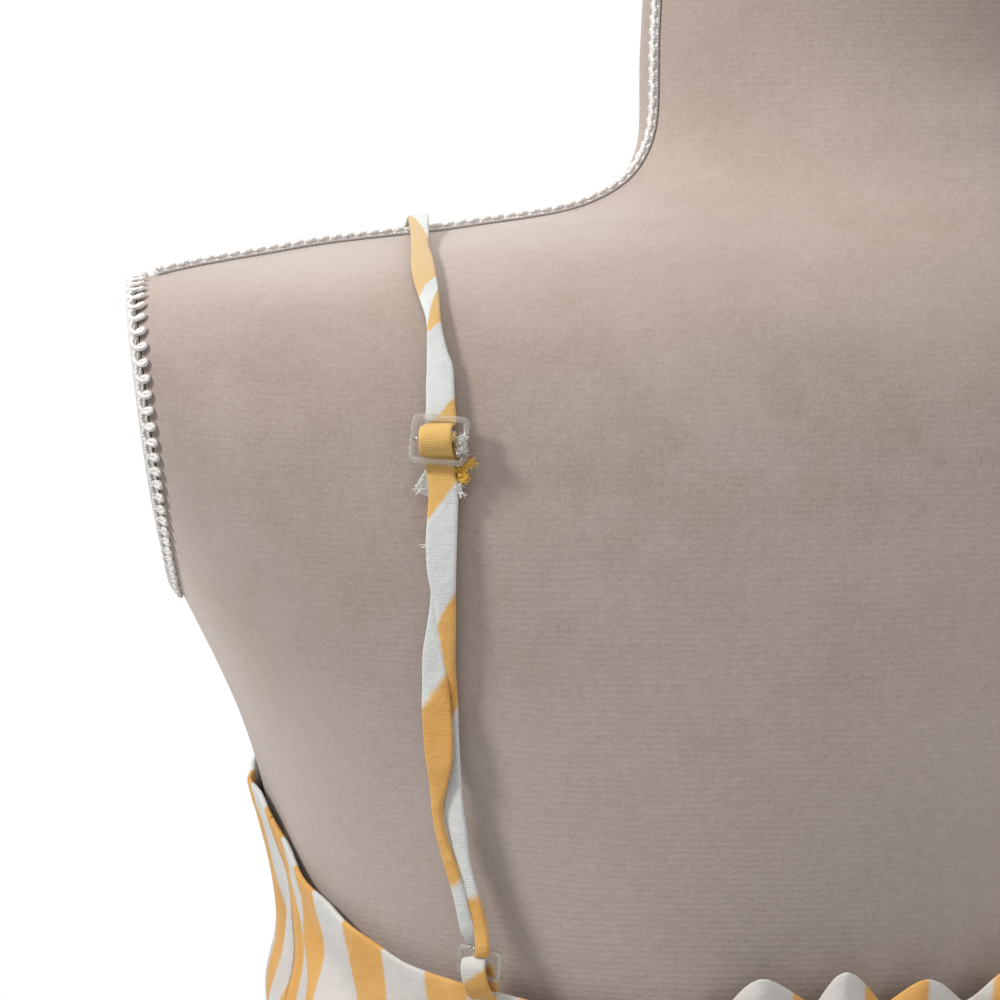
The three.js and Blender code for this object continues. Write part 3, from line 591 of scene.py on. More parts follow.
def taut_rings(levels, degrees):
    """The form's level outlines pulled taut over its hollows: their radius at each level and angle."""
    u = np.linspace(0, 2 * math.pi, 240, endpoint=False)
    made = []
    for z in levels:
        low, high = np.full(u.shape, 4.0), np.full(u.shape, 13.0)
        for _ in range(22):
            mid = (low + high) / 2
            below = form(mid, u)[:, 2] < z
            low, high = np.where(below, mid, low), np.where(below, high, mid)
        points = form(low, u)[:, :2]
        points = points[np.lexsort((points[:, 1], points[:, 0]))]
        hull = []
        for chain in (points, points[::-1]):
            start = len(hull)
            for p in chain:
                while len(hull) > start + 1 and np.cross(hull[-1] - hull[-2], p - hull[-2]) <= 0:
                    hull.pop()
                hull.append(p)
            hull.pop()
        hull = np.array(hull)
        facing = np.arctan2(hull[:, 0], -hull[:, 1])
        hull = hull[np.argsort(facing)]
        facing = np.sort(facing)
        after = np.searchsorted(facing, np.radians(degrees)) % len(hull)
        a, b = hull[after - 1], hull[after]
        way = np.stack([np.sin(np.radians(degrees)), -np.cos(np.radians(degrees))], -1)
        made.append(np.cross(a, b) / np.cross(way, b - a))
    return np.array(made)


LEVELS, DEGREES = np.arange(1013, 1311, 3.0), np.arange(-180, 180.1, 0.5)
TAUT = taut_rings(LEVELS, DEGREES)


def folded(degrees):
    return np.abs((degrees + 180) % 360 - 180)


def neckline(degrees):
    return look_up(NECKLINE, folded(degrees))[..., 0]


def bodice_radius(z, degrees):
    z, degrees = np.broadcast_arrays(np.asarray(z, float), np.asarray(degrees, float))
    i = np.clip((z - LEVELS[0]) / 3, 0, len(LEVELS) - 1.001)
    j = ((degrees + 180) % 360) * 2
    i0, j0 = i.astype(int), np.minimum(j.astype(int), len(DEGREES) - 2)
    f, g = i - i0, j - j0
    taut = ((TAUT[i0, j0] * (1 - g) + TAUT[i0, j0 + 1] * g) * (1 - f)
            + (TAUT[i0 + 1, j0] * (1 - g) + TAUT[i0 + 1, j0 + 1] * g) * f)
    rows = look_up(EASE, z)
    a = folded(degrees)
    k = np.clip(np.searchsorted(EASE_AT, a, side="right") - 1, 0, 2)
    h = (a - EASE_AT[k]) / (EASE_AT[k + 1] - EASE_AT[k])
    low = np.take_along_axis(rows, k[..., None], -1)[..., 0]
    high = np.take_along_axis(rows, k[..., None] + 1, -1)[..., 0]
    return taut + low + (high - low) * h * h * (3 - 2 * h)


def round_axis(radius, degrees, z):
    a = np.radians(degrees)
    return np.stack([radius * np.sin(a), -radius * np.cos(a), z], -1)


def creases(rows, z, degrees):
    """Soft troughs and ridges: from angle and height to angle and height, width and depth of each."""
    total = np.zeros(np.broadcast(z, degrees).shape)
    for a0, z0, a1, z1, wide, deep in rows:
        ax, ay, bx, by = a0 * 2.45, z0, a1 * 2.45, z1
        length = (bx - ax) ** 2 + (by - ay) ** 2
        t = ((degrees * 2.45 - ax) * (bx - ax) + (z - ay) * (by - ay)) / length
        held = np.clip(t, 0, 1)
        gone = np.hypot(degrees * 2.45 - ax - held * (bx - ax), z - ay - held * (by - ay))
        total += deep * np.exp(-(gone / wide) ** 2) * (0.35 + 0.65 * np.sin(np.pi * held))
    return total


def edged(count, tight):
    """Even steps from 0 to 1 with one more row close to each end, so that a folded edge stays crisp."""
    return np.concatenate([[0, tight], np.linspace(0, 1, count + 1)[1:-1], [1 - tight, 1]])


def cloth_shell(name, middle, stripe, grain, finish, thick, hem=None):
    """A closed sheet on a grid of points, with its stripe numbers and its own lengths as its map."""
    normal = unit(np.cross(np.gradient(middle, axis=1), np.gradient(middle, axis=0)))
    outward = np.sign((normal * np.append(middle.mean((0, 1))[:2], 0)).sum())
    normal *= outward
    rows, columns = middle.shape[:2]
    half = thick / 2 * np.ones((rows, columns, 1))
    if hem is not None:
        half = half * hem[..., None]
    half[[0, -1]] *= 0.7
    half[:, [0, -1]] *= 0.7
    points = np.concatenate([(middle - normal * half).reshape(-1, 3),
                             (middle + normal * half).reshape(-1, 3)])
    k = np.arange(rows * columns).reshape(rows, columns)
    quads = np.stack([k[:-1, :-1], k[:-1, 1:], k[1:, 1:], k[1:, :-1]], -1).reshape(-1, 4)
    shift = rows * columns
    edge = np.concatenate([k[0, :], k[1:, -1], k[-1, -2::-1], k[-2:0:-1, 0]])
    after = np.roll(edge, -1)
    rim = np.stack([after, edge, edge + shift, after + shift], -1)
    faces = np.concatenate([quads, quads[:, ::-1] + shift, rim])
    piece = outwards(as_mesh(name, points / 1000, faces.tolist(), finish))
    twice = np.concatenate([stripe.ravel(), stripe.ravel()])
    piece.data.attributes.new("stripe", "FLOAT", "POINT").data.foreach_set("value", twice)
    lay_map(piece, np.concatenate([grain.reshape(-1, 2), grain.reshape(-1, 2)]) / 1000)
    return piece


def lay_map(piece, spots):
    corners = np.empty(len(piece.data.loops), dtype=np.int32)
    piece.data.loops.foreach_get("vertex_index", corners)
    piece.data.uv_layers.new(name="UVMap").data.foreach_set("uv", spots[corners].ravel())


def lengths(points, axis):
    """Length along a grid's rows or columns, from its first point."""
    steps = np.linalg.norm(np.diff(points, axis=axis), axis=-1)
    start = np.zeros_like(np.take(steps, [0], axis))
    return np.cumsum(np.concatenate([start, steps], axis), axis)


striped = Finish("striped cotton", Roughness=0.85, Sheen_Weight=0.15, Sheen_Roughness=0.5,
                 Specular_IOR_Level=0.2)
where = striped.place()
number = striped.node("ShaderNodeAttribute", {"attribute_name": "stripe"}, outlet="Fac")
u, v = striped.node("ShaderNodeSeparateXYZ", {}, {0: striped.node("ShaderNodeTexCoord", outlet="UV")},
                    outlet=("X", "Y"))
ragged = (striped.cloud(where, 420.0, 3.0, 0.6) - 0.5) * 0.06 + (striped.cloud(where, 60.0) - 0.5) * 0.12
WARP, WEFT = 0.00038, 0.00046
ribs = (v * (2 * math.pi / WEFT) + striped.cloud(where, 500.0) * 2.0).sine()
yarns = (u * (2 * math.pi / WARP) + striped.cloud(where, 480.0) * 2.0).sine()
bleached = striped.spread(abs((number + ragged + 0.5) % 2 - 1) + ribs * 0.012, 0.465, 0.535)
faded = striped.spread(striped.cloud(where, 70.0, 4.0, 0.6), 0.35, 0.7)
height = striped.node("ShaderNodeSeparateXYZ", {}, {0: where}, outlet="Z")
# painted shade: below 1.235 m, on the bodice, the same white is given a duller, warmer tone than on the straps
# above
painted_shade_low = striped.spread(height, 1.235, 1.2)
yellow = striped.mix(faded, paint(217, 167, 97), paint(209, 156, 81))
# painted highlight: the yellow is paler and lighter from 1.30 to 1.375 m, where the straps cross the top of
# the shoulder
yellow = striped.mix(striped.spread(height, 1.3, 1.334), yellow, paint(214, 174, 103))
yellow = striped.mix(striped.spread(height, 1.345, 1.375) * 0.8, yellow, paint(197, 172, 132))
white = striped.mix(painted_shade_low, striped.mix(faded, paint(209, 213, 211), paint(201, 203, 201)),
                    striped.mix(faded, paint(206, 201, 197), paint(197, 191, 186)))
dyed = striped.mix(bleached, yellow, white)
# painted shade: the weave's troughs, where ribs and yarns run low, are darkened up to a tenth towards brown
dyed = striped.mix(striped.spread(ribs + yarns * 0.5, -1.3, 0.6) * 0.10 + 0.9, paint(150, 112, 70), dyed)
striped.feed("Base Color", dyed)
striped.feed("Roughness", 0.82 + faded * 0.1)
slub = striped.cloud(where, 260.0, 3.0, 0.55)
striped.feed("Normal", striped.relief(ribs * 0.07 + yarns * 0.04, 0.0006, 0.5,
                                      under=striped.relief(slub, 0.0011, 0.45)))

TUCKS = [  # creases that fan down from each underarm, and slack ones across the side
    [93, 1226, 76, 1160, 4.5, -2.0], [92, 1224, 86, 1150, 4, 1.6], [93, 1222, 97, 1150, 4.5, -2.2],
    [94, 1220, 107, 1160, 4, 1.5], [96, 1216, 120, 1165, 4.5, -1.6], [84, 1236, 60, 1185, 6, 1.2],
    [78, 1240, 50, 1200, 7, -1.1], [100, 1190, 128, 1130, 7, 1.5], [60, 1150, 100, 1100, 9, -1.6],
    [104, 1120, 138, 1085, 8, -1.5], [62, 1095, 104, 1060, 9, 1.4], [20, 1095, 64, 1060, 9, -1.5],
    [8, 1180, 14, 1090, 10, 1.4], [26, 1120, 34, 1040, 8, 1.2], [110, 1075, 132, 1035, 7, 1.4]]
TUCKS += [[-a0, z0 + 2, -a1, z1 + 3, w * 1.08, d * 0.92] for a0, z0, a1, z1, w, d in TUCKS]


def bodice_panel(name, start, end, columns, rows, number):
    down = edged(rows, 0.0035)[:, None]
    turn = edged(columns, 0.0008 * 90 / abs(end - start))[None, :]
    degrees = start + (end - start) * turn + 0 * down
    seam = np.degrees(GAP / 2 / 150)
    at_seam = np.abs(turn - 0.5) > 0.499
    degrees = degrees + np.where(turn < 0.5, seam, -seam) * np.sign(end - start) * at_seam
    top = neckline(degrees)
    z = top - (top - WAIST_Z - GAP) * down
    folds = creases(TUCKS, z, degrees)
    edge = 0.35 * np.sin(degrees * 0.9 + 1) * np.exp(-(top - z) / 10)
    middle = round_axis(bodice_radius(z, degrees) + 0.65 + np.maximum(folds + edge, -1.7), degrees, z)
    hem = 1 + 0.45 * np.clip((7.6 - (top - z)) / 0.8, 0, 1)
    across, length = lengths(middle, 1), lengths(middle, 0)
    piece = cloth_shell(name, middle, number(z, degrees, middle), np.stack([across, length], -1),
                        striped, CLOTH, hem)
    return piece, middle


SIDE_STRIPES = np.array([[92, 0.6], [93.4, 1], [96.3, 2], [99.8, 3], [105.1, 4], [109.8, 5], [114.6, 6],
                         [118.8, 7], [123.5, 8], [128.3, 9], [133, 10], [137.8, 11], [140, 11.5]])


def front_number(z, degrees, middle):
    length = lengths(middle, 1)
    centre = length[:, [length.shape[1] // 2]]
    reached = np.interp(90.2, degrees[20], length[20] - centre[20])
    return (length - centre - reached) / STRIPE + 40


def side_number(z, degrees, middle):
    at_top = np.interp(folded(degrees), *SIDE_STRIPES.T)
    return 45 + (at_top - 5) * bodice_radius(z, degrees) / bodice_radius(1205, degrees)


def measure(middle):
    """Width, length and area of one layer, in metres and square metres."""
    a, b = middle[1:, 1:] - middle[:-1, :-1], middle[1:, :-1] - middle[:-1, 1:]
    area = np.linalg.norm(np.cross(a, b), axis=-1).sum() / 2
    return lengths(middle, 1)[:, -1].max() / 1000, lengths(middle, 0)[-1].max() / 1000, area / 1e6


def declare(piece, node, middle):
    wide, long, area = measure(middle)
    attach(piece, "root")
    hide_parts(node)


front, middle = bodice_panel("bodice_front_cloth", -SIDE_SEAM, SIDE_SEAM, 250, 76, front_number)
declare(front, "bodice_front", middle)
for name, way in (("left", 1), ("right", -1)):
    piece, middle = bodice_panel(f"bodice_side_cloth_{name}", way * SIDE_SEAM, way * SHIRRED_EDGE, 74, 76,
                                 side_number)
    declare(piece, f"bodice_side_back_{name}", middle)

# ---------------------------------------------------------------- the shirred back
# The same cotton gathered on rows of elastic thread, which pull it into small ripples. Above the top row
# the cloth stands free as a frill of uneven puffs. Each row is a line of short stitches on the outside.
PUFFS = [[146, 8.5, 11.5], [153.8, 7, 13.5], [162, 9, 10], [171, 9, 12], [180.5, 10, 9], [190, 8, 12],
         [199, 9, 9], [207.5, 8, 12], [215, 7, 9]]  # angle, width, rise
SHIRRED_STRIPES = np.array([[140, 8.3], [142.6, 9], [149.3, 10], [151.4, 11], [156.2, 12], [163, 13],
                            [170, 14], [177, 15], [184, 16], [191, 17], [198, 18], [205, 19], [212, 20],
                            [220, 21]])
ROW_PITCH, FIRST_ROW, CASING_TOP = 8.5, 1196, 1205


def bump(away, wide):
    return np.where(np.abs(away) < wide, np.cos(np.clip(away / wide, -1, 1) * math.pi / 2) ** 2, 0)


def puff_at(degrees):
    return np.max([bump(degrees - a, wide / 1.6) * rise / 12 for a, wide, rise in PUFFS], axis=0)


down, turn = edged(96, 0.002)[:, None], edged(300, 0.0008)[None, :]
seam = np.degrees(1.5 * GAP / 145)
degrees = SHIRRED_EDGE + seam + (360 - 2 * SHIRRED_EDGE - 2 * seam) * turn + 0 * down
puff = puff_at(degrees)
top = CASING_TOP + HEADER * puff
z = top - (top - WAIST_Z - GAP) * down
above = np.clip((z - 1198) / HEADER, 0, 1)
gather = np.sin(np.radians(degrees * 17) + 2.2 * np.sin(np.radians(degrees * 3.1)) + z / 61)
gather += 0.6 * np.sin(np.radians(degrees * 41) + 1.7 * np.sin(np.radians(degrees * 7)) - z / 37)
between_rows = np.abs(np.sin(math.pi * (z - FIRST_ROW) / ROW_PITCH)) ** 0.7
ripple = gather * (0.25 + 0.75 * between_rows) * np.where(z < FIRST_ROW, 0.75, 0.35 + 0.5 * above)
radius = bodice_radius(np.minimum(z, 1206), degrees) + puff * (1 + 6 * above) - above
middle = round_axis(radius + 0.9 + np.maximum(ripple, -0.8), degrees, z)
number = np.interp(degrees + 1.2 * np.sin(z / 23) * above, *SHIRRED_STRIPES.T) + 40
shirred = cloth_shell("bodice_back_cloth", middle, number,
                      np.stack([lengths(middle, 1), lengths(middle, 0)], -1), striped, CLOTH)
declare(shirred, "bodice_back_shirred", middle)

stitched, into = new_tree("stitches", {"Spacing": "Float", "Length": "Float", "Thickness": "Float",
                                       "Lift": "Float", "Finish": "Material"})
line = stitched.node("GeometryNodeMeshToCurve", {}, {0: into["Geometry"]})
spots, tangent = stitched.node("GeometryNodeCurveToPoints", {"mode": "LENGTH"},
                               {"Curve": line, "Length": into["Spacing"]}, outlet=("Points", "Tangent"))
out = stitched.node("GeometryNodeInputNamedAttribute", {"data_type": "FLOAT_VECTOR"}, {"Name": "out"})
spots = stitched.node("GeometryNodeSetPosition", {},
                      {"Geometry": spots, "Offset": scaled(stitched, out, into["Lift"])})
turned_to = stitched.node("FunctionNodeAlignRotationToVector", {"axis": "X"}, {"Vector": tangent})
bead = stitched.node("GeometryNodeMeshUVSphere", {}, {"Segments": 6, "Rings": 4, "Radius": 0.5})
size = stitched.node("ShaderNodeCombineXYZ", {},
                     {0: into["Length"], 1: into["Thickness"], 2: into["Thickness"]})
spots = stitched.node("GeometryNodeInstanceOnPoints", {}, {"Points": spots, "Instance": bead,
                                                           "Rotation": turned_to, "Scale": size})
close_tree(stitched, spots, into["Finish"])
thread = Finish("sewing thread", Roughness=0.6, Sheen_Weight=0.2, Specular_IOR_Level=0.3)
thread.feed("Base Color", thread.mix(thread.cloud(thread.place(), 1800.0, 2.0), paint(214, 186, 138),
                                     paint(236, 220, 190)))
thread.feed("Roughness", 0.5 + thread.cloud(thread.place(), 900.0) * 0.25)


def stitch_rows(name, rows, spacing, long, thick, lift):
    """One piece from several stitched lines, each a list of points and the way out at them."""
    points, outs, edges, count = [], [], [], 0
    for line, ways in rows:
        points += list(line)
        outs += list(ways)
        edges += [(count + i, count + i + 1) for i in range(len(line) - 1)]
        count += len(line)
    piece = outline_piece(name, points, outs, edges=edges)
    grown(piece, stitched, {"Spacing": spacing / 1000, "Length": long / 1000, "Thickness": thick / 1000,
                            "Lift": lift / 1000, "Finish": thread.material})
    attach(piece, "root")
    return piece


def level_ways(degrees):
    return round_axis(1, degrees, 0 * degrees)


across = np.linspace(SHIRRED_EDGE + 1, 359 - SHIRRED_EDGE, 260)
rows = []
for level in np.arange(FIRST_ROW, WAIST_Z + 6, -ROW_PITCH):
    lift = np.interp(across, degrees[40], np.hypot(*middle[np.abs(z[:, 100] - level).argmin(), :, :2].T))
    rows.append((round_axis(lift, across, level + 0 * across), level_ways(across)))
stitch_rows("shirring_stitches", rows, 3.2, 2.3, 0.42, CLOTH / 2 + 0.05)

# ---------------------------------------------------------------- the skirt
# A full skirt of the same cotton in a front and a back, gathered into the waist seam, so that it falls in
# deep uneven folds. Its hem is turned up twice and stitched 18 mm from the edge.
SPREAD = [[1070, -0.2], [1025, 0], [1000, 0.15], [950, 0.35], [890, 0.52], [800, 0.71], [670, 0.87], [520, 1],
          [400, 1.08]]
HEM_HALF, HEM_FRONT, HEM_BACK, HEM_SQUARE, HEM_DEEP = 268, 200, 214, 2.2, 18
FOLDS = [[4, 15, 15], [27, 17, 21], [49, 13, 13], [70, 16, 19], [88, 12, 11], [109, 16, 20], [131, 14, 15],
         [152, 16, 21], [176, 15, 17], [197, 14, 14], [219, 17, 22], [243, 15, 15], [264, 13, 18],
         [285, 14, 12], [306, 17, 20], [329, 14, 16], [347, 12, 11]]  # angle, width, reach at the hem


def skirt_radius(z, degrees):
    share = look_up(SPREAD, z)[..., 0]
    s, c = np.abs(np.sin(np.radians(degrees))), np.cos(np.radians(degrees))
    hem = ((s / HEM_HALF) ** HEM_SQUARE
           + (np.abs(c) / np.where(c > 0, HEM_FRONT, HEM_BACK)) ** HEM_SQUARE) ** (-1 / HEM_SQUARE)
    wave = sum(reach * bump((degrees - a + 540) % 360 - 180, wide) for a, wide, reach in FOLDS) - 9
    at_waist = bodice_radius(WAIST_Z, degrees)
    return at_waist + (hem - at_waist) * share + wave * np.clip(share, 0, 1) ** 1.3


def skirt_middle(z, degrees):
    fall = (WAIST_Z - z) / (WAIST_Z - HEM_Z)
    gather = np.sin(np.radians(degrees * 61) + 2.5 * np.sin(np.radians(degrees * 9)))
    gather += 0.5 * np.sin(np.radians(degrees * 37) + 2 * np.sin(np.radians(degrees * 5)) + z / 90)
    small = 1.15 * gather * np.exp(-fall * 7) * (1 - np.exp(-fall * 60))
    slack = 1.6 * np.sin(np.radians(degrees * 11) + z / 70) * np.sin(z / 47 + degrees / 13)
    slack *= np.clip(fall * 3, 0, 1)
    return round_axis(skirt_radius(z, degrees) + 0.65 + small + slack, degrees, z)


hem_rows = []
for name, start, end in (("front", -SIDE_SEAM, SIDE_SEAM), ("back", SIDE_SEAM, 360 - SIDE_SEAM)):
    down, turn = edged(84, 0.0012)[:, None], edged(330, 0.0003)[None, :]
    seam = np.degrees(GAP / 2 / 110)
    degrees = start + seam + (end - start - 2 * seam) * turn + 0 * down
    z = WAIST_Z - GAP / 2 - (WAIST_Z - GAP - HEM_Z) * down + 0 * turn
    middle = skirt_middle(z, degrees)
    across, length = lengths(middle, 1), lengths(middle, 0)
    number = across[-1] / STRIPE + 0 * z
    hem = 1 + 0.6 * np.clip((HEM_Z + HEM_DEEP + 0.6 - z) / 1.2, 0, 1)
    piece = cloth_shell(f"skirt_{name}_cloth", middle, number, np.stack([across[-1] + 0 * z, length], -1),
                        striped, CLOTH, hem)
    declare(piece, f"skirt_{name}", middle)
    around = degrees[0, 2:-2]
    level = HEM_Z + HEM_DEEP - 2 + 0 * around
    hem_rows.append((skirt_middle(level, around), level_ways(around)))
stitch_rows("hem_stitches", hem_rows, 4.0, 2.9, 0.5, CLOTH * 0.8)

# ---------------------------------------------------------------- the straps
# Each strap is a tube of the same cotton cut on the slant and pressed flat, of which only the outside is
# made. It comes over the shoulder, runs through the slider and down to the ring, turns round it, and comes
# back up to the slider's middle bar, where its raw end is sewn in a loop. The two layers slip beside each
# other below the slider, and twists are made by narrowing.
STRAP_LINE = np.array([
    [122.4, 72, 1192], [124.3, 72.5, 1206], [126.3, 72.5, 1219], [129.3, 72.5, 1234], [133.5, 72, 1252],
    [137.5, 75, 1275], [138, 79, 1304], [137, 76, 1332], [135, 64, 1354], [131, 40, 1368], [123, 0, 1376],
    [116, -32, 1368], [110, -60, 1348], [105, -80, 1318], [100, -92, 1285], [95, -98, 1255]])
SLIDER_UP, SLIDER_LIFT, SLIDER_TALL, SLIDER_WIDE, RAIL = 118.4, 4.0, 11, 13.2, 1.3
RING_HALF, RING_TALL, RING_LIFT, RING_WIRE = 4.95, 3.2, 6.2, 0.65


def feet_under(points):
    """The nearest places on the form, above its waist, to the given points."""
    t, u = np.meshgrid(np.linspace(7.5, 17, 91), np.linspace(0, 2 * math.pi, 181))
    t, u = t.ravel(), u.ravel()
    grid = form(t, u)
    best = np.array([np.argmin(((grid - p) ** 2).sum(1)) for p in points])
    t, u = t[best], u[best]
    step = 0.06
    while step > 1e-5:
        for _ in range(6):
            tries = [(t, u), (t + step, u), (t - step, u), (t, u + step), (t, u - step)]
            gone = np.array([((form(a, b) - points) ** 2).sum(1) for a, b in tries])
            pick = gone.argmin(0)
            t = np.choose(pick, [a for a, _ in tries])
            u = np.choose(pick, [b for _, b in tries])
        step /= 2
    return t, u


t, u = feet_under(along(STRAP_LINE, np.linspace(0, len(STRAP_LINE) - 1, 151)))
feet, foot_outs = form(t, u), form_normal(t, u)
foot_at = np.concatenate([[0], np.cumsum(np.linalg.norm(np.diff(feet, axis=0), axis=1))])
edge_at = np.argmax(feet[:, 2] > neckline(np.degrees(np.arctan2(feet[:, 0], -feet[:, 1]))) + GAP)
before, after = (feet[k, 2] - neckline(np.degrees(np.arctan2(feet[k, 0], -feet[k, 1]))) - GAP
                 for k in (edge_at - 1, edge_at))
RING_AT = np.interp(0, [before, after], foot_at[[edge_at - 1, edge_at]]) + 7.4


def track(s):
    """Foot, way out and way across at lengths along the strap's line, measured up from the ring."""
    s = np.asarray(s, float) + RING_AT
    def at(values):
        return np.stack([np.interp(s, foot_at, values[:, k]) for k in range(3)], -1)
    out = unit(at(foot_outs))
    up = at(np.gradient(feet, foot_at, axis=0))
    up = unit(up - out * (up * out).sum(-1, keepdims=True))
    return at(feet), out, up, np.cross(up, out)


UPPER = [  # along, rise, aside, width: over the shoulder, front end to slider
    [392, 1.9, 0, 7.2], [382, 2.4, 0, 7.2], [372, 3.2, 0, 7.2], [345, 1.7, 0.3, 7], [300, 1.6, -0.2, 6.4],
    [262, 1.6, 0.3, 6.8], [240, 2.0, 0, 6.2], [226, 3.1, 0, 5.6], [216, 3.9, 0, 4.9], [206, 3.6, -0.2, 4.8],
    [196, 2.4, -0.7, 4.4], [182, 1.9, -1.1, 4.4], [168, 1.8, -1.7, 5.4], [155, 1.9, -1.35, 4.7],
    [146, 2.2, -0.9, 3.4], [139, 2.0, -0.5, 4.5], [135, 2.1, 0, 6.0], [130, 2.3, -0.3, 6.3]]
LOWER = [  # the layer that comes down from the slider
    [108, 2.6, 0.1, 6.8], [100, 2.6, 0, 6.9], [90, 2.8, 0.5, 6.6], [84, 3.0, 1.4, 5.2], [78, 2.9, 2.3, 4.2],
    [72, 2.4, 3.2, 2.9], [66, 1.9, 3.7, 2.0], [61, 1.6, 3.6, 2.0], [55, 1.6, 2.7, 3.0], [48, 2.4, 1.9, 4.6],
    [42, 3.4, 2.0, 4.8], [36, 4.2, 1.5, 5.2], [30, 4.8, 1.3, 4.7], [24, 5.3, 1.0, 3.9], [18, 5.7, 1.3, 3.5],
    [12, 6.2, 1.9, 3.3], [7.5, 6.6, 2.2, 3.4]]
INNER = [  # the layer that goes back up from the ring to the slider
    [7.5, 7.0, -0.9, 3.9], [12, 6.9, -1.2, 3.5], [18, 6.5, -1.5, 3.0], [24, 6.1, -1.8, 2.7],
    [30, 5.7, -2.2, 2.4], [36, 5.3, -2.1, 2.4], [42, 5.1, -0.6, 4.6], [48, 4.9, 0.5, 6.8],
    [54, 4.3, 0.6, 7.2], [60, 3.7, 0.2, 7.1], [66, 3.0, -0.1, 6.1], [72, 2.3, -0.6, 5.1], [78, 1.6, 0, 5.4],
    [84, 1.3, 0.4, 5.6],
    [90, 1.15, 0, 5.6], [98, 1.1, 0, 6], [108, 1.1, 0, 6.4]]
DOWN_STRIPES = [  # where each colour ends at the left and the right edge, front to back, then down
    [394, 402], [366, 374], [342, 350], [318, 326], [294, 302], [270, 278], [254, 262],
    [236, 212], [220, 187], [153.8, 162.3], [144.1, 157.6], [143.9, 146], [121, 128.2], [101.4, 110],
    [78.5, 86], [56, 60], [15.2, 15.6], [-20, -16]]
UP_STRIPES = [[-20, -16], [19, 20.5], [60, 68.5], [92, 100], [112, 120], [136, 144]]


def stripe_numbers(s, w, edges, first):
    """Stripe numbers at lengths s and places w across, -1 to 1, from the ends of each colour."""
    edges = np.array(edges, float)
    made = np.empty(s.shape)
    for k in range(s.shape[1]):
        ends = edges[:, 0] + (edges[:, 1] - edges[:, 0]) * (w[0, k] + 1) / 2
        order = np.argsort(ends)
        made[:, k] = np.interp(s[:, k], ends[order], (first + np.arange(len(edges)))[order])
    return made


def resample(marks, step):
    """Marks of length, rise, aside and width at even steps along their path, gently smoothed."""
    marks = np.array(marks, float)
    gone = np.concatenate([[0], np.cumsum(np.hypot(np.hypot(*np.diff(marks[:, :2], axis=0).T),
                                                   np.diff(marks[:, 2])))])
    even = np.linspace(0, gone[-1], int(gone[-1] / step))
    made = np.stack([np.interp(even, gone, column) for column in marks.T], -1)
    soft = made.copy()
    for _ in range(2):
        soft[1:-1] = (soft[:-2] + 2 * soft[1:-1] + soft[2:]) / 4
    return soft


SECTION = np.linspace(0, 2 * math.pi, 18, endpoint=False)


def ribbon(name, marks, edges_of, thick=1.05, wobble=0.18):
    """A pressed tube of cloth along marks of length, rise, aside, width and which stripes it carries."""
    s, rise, aside, width, layer = np.array(marks).T
    foot, out, up, across = track(s)
    slope_s, slope_r = np.gradient(s), np.gradient(rise)
    size = np.hypot(slope_s, slope_r) + 1e-9
    facing = (out * (slope_s / size)[:, None] - up * (slope_r / size)[:, None])
    run = np.concatenate([[0], np.cumsum(size[1:])])
    aside = aside + wobble * np.sin(run / 5.3) * np.sin(run / 13 + 1)
    width = width + wobble * np.sin(run / 3.7 + 2) * np.sin(run / 9)
    centre = foot + out * rise[:, None] + across * aside[:, None]
    w = np.sign(np.cos(SECTION)) * np.abs(np.cos(SECTION)) ** 0.75
    deep = np.sign(np.sin(SECTION)) * np.abs(np.sin(SECTION)) ** 0.6
    full = (thick + np.clip(4.4 - width, 0, 3) * 0.32)[:, None]
    dip = 0.14 * np.sin(run / 4.1)[:, None] * (w * w)[None, :]
    loops = (centre[:, None] + across[:, None] * (w[None, :] * width[:, None] / 2)[..., None]
             + facing[:, None] * (deep[None, :] * full / 2 + dip)[..., None])
    piece = loft(name, loops, striped)
    w_grid = np.broadcast_to(w, loops.shape[:2])
    number = edges_of(np.repeat(s[:, None], len(w), 1), w_grid, layer)
    number = np.concatenate([number.ravel(), number[[0, -1], 0]])
    piece.data.attributes.new("stripe", "FLOAT", "POINT").data.foreach_set("value", number)
    spots = np.stack([np.broadcast_to(w * 0.5, loops.shape[:2]) * width[:, None] + deep[None, :] * 0.5,
                      np.repeat(run[:, None], len(w), 1)], -1).reshape(-1, 2)
    lay_map(piece, np.concatenate([spots, spots[[0, -1]]]) / 1000)
    return piece, float(run[-1])


def mirror(piece):
    """Turns a left piece into the right one."""
    piece.data.transform(((-1, 0, 0, 0), (0, 1, 0, 0), (0, 0, 1, 0), (0, 0, 0, 1)))
    piece.data.flip_normals()


def turn_round(s, rise, radius, start, end, steps, aside, width, layer):
    return [[s + radius * math.cos(a), rise + radius * math.sin(a), aside, width, layer]
            for a in np.radians(np.linspace(start, end, steps))]


railed = SLIDER_TALL / 2 - RAIL
over_rise = -0.65 - 0.95
past = [(railed + 3.2, over_rise, 6.4), (railed + 0.7, over_rise, 6.8), (railed - 0.35, over_rise + 0.1, 7.1),
        (railed - 0.8, -1.0, 7.3)]
inner_turn = math.hypot(1, 1.3) / 2 + GAP + 0.5
outer_turn = inner_turn + GAP + 1.05
marks = [[s, *look_up(UPPER, s), 0] for s in np.arange(392, SLIDER_UP + railed + 5, -1.2)]
marks += [[SLIDER_UP + a, SLIDER_LIFT + b, -0.4, wide, 0] for a, b, wide in past]
marks += turn_round(SLIDER_UP, SLIDER_LIFT, outer_turn, 15, 165, 14, -1.0, 7.4, 0)
marks += [[SLIDER_UP - a, SLIDER_LIFT + b, -0.5, wide, 0] for a, b, wide in reversed(past)]
marks += [[s, *look_up(LOWER, s), 0] for s in np.arange(SLIDER_UP - railed - 5, 7.5, -1.0)]
fold = turn_round(RING_TALL, RING_LIFT, 0.5 + RING_WIRE + 0.35, 80, 280, 12, 0, 0, 0)
for k, mark in enumerate(fold):
    f = k / (len(fold) - 1)
    mark[2], mark[3], mark[4] = 2.2 - 2.9 * f, 3.5 + 0.6 * math.sin(math.pi * f), f
marks += fold
marks += [[s, *look_up(INNER, s), 1] for s in np.arange(8, 107, 1.0)]
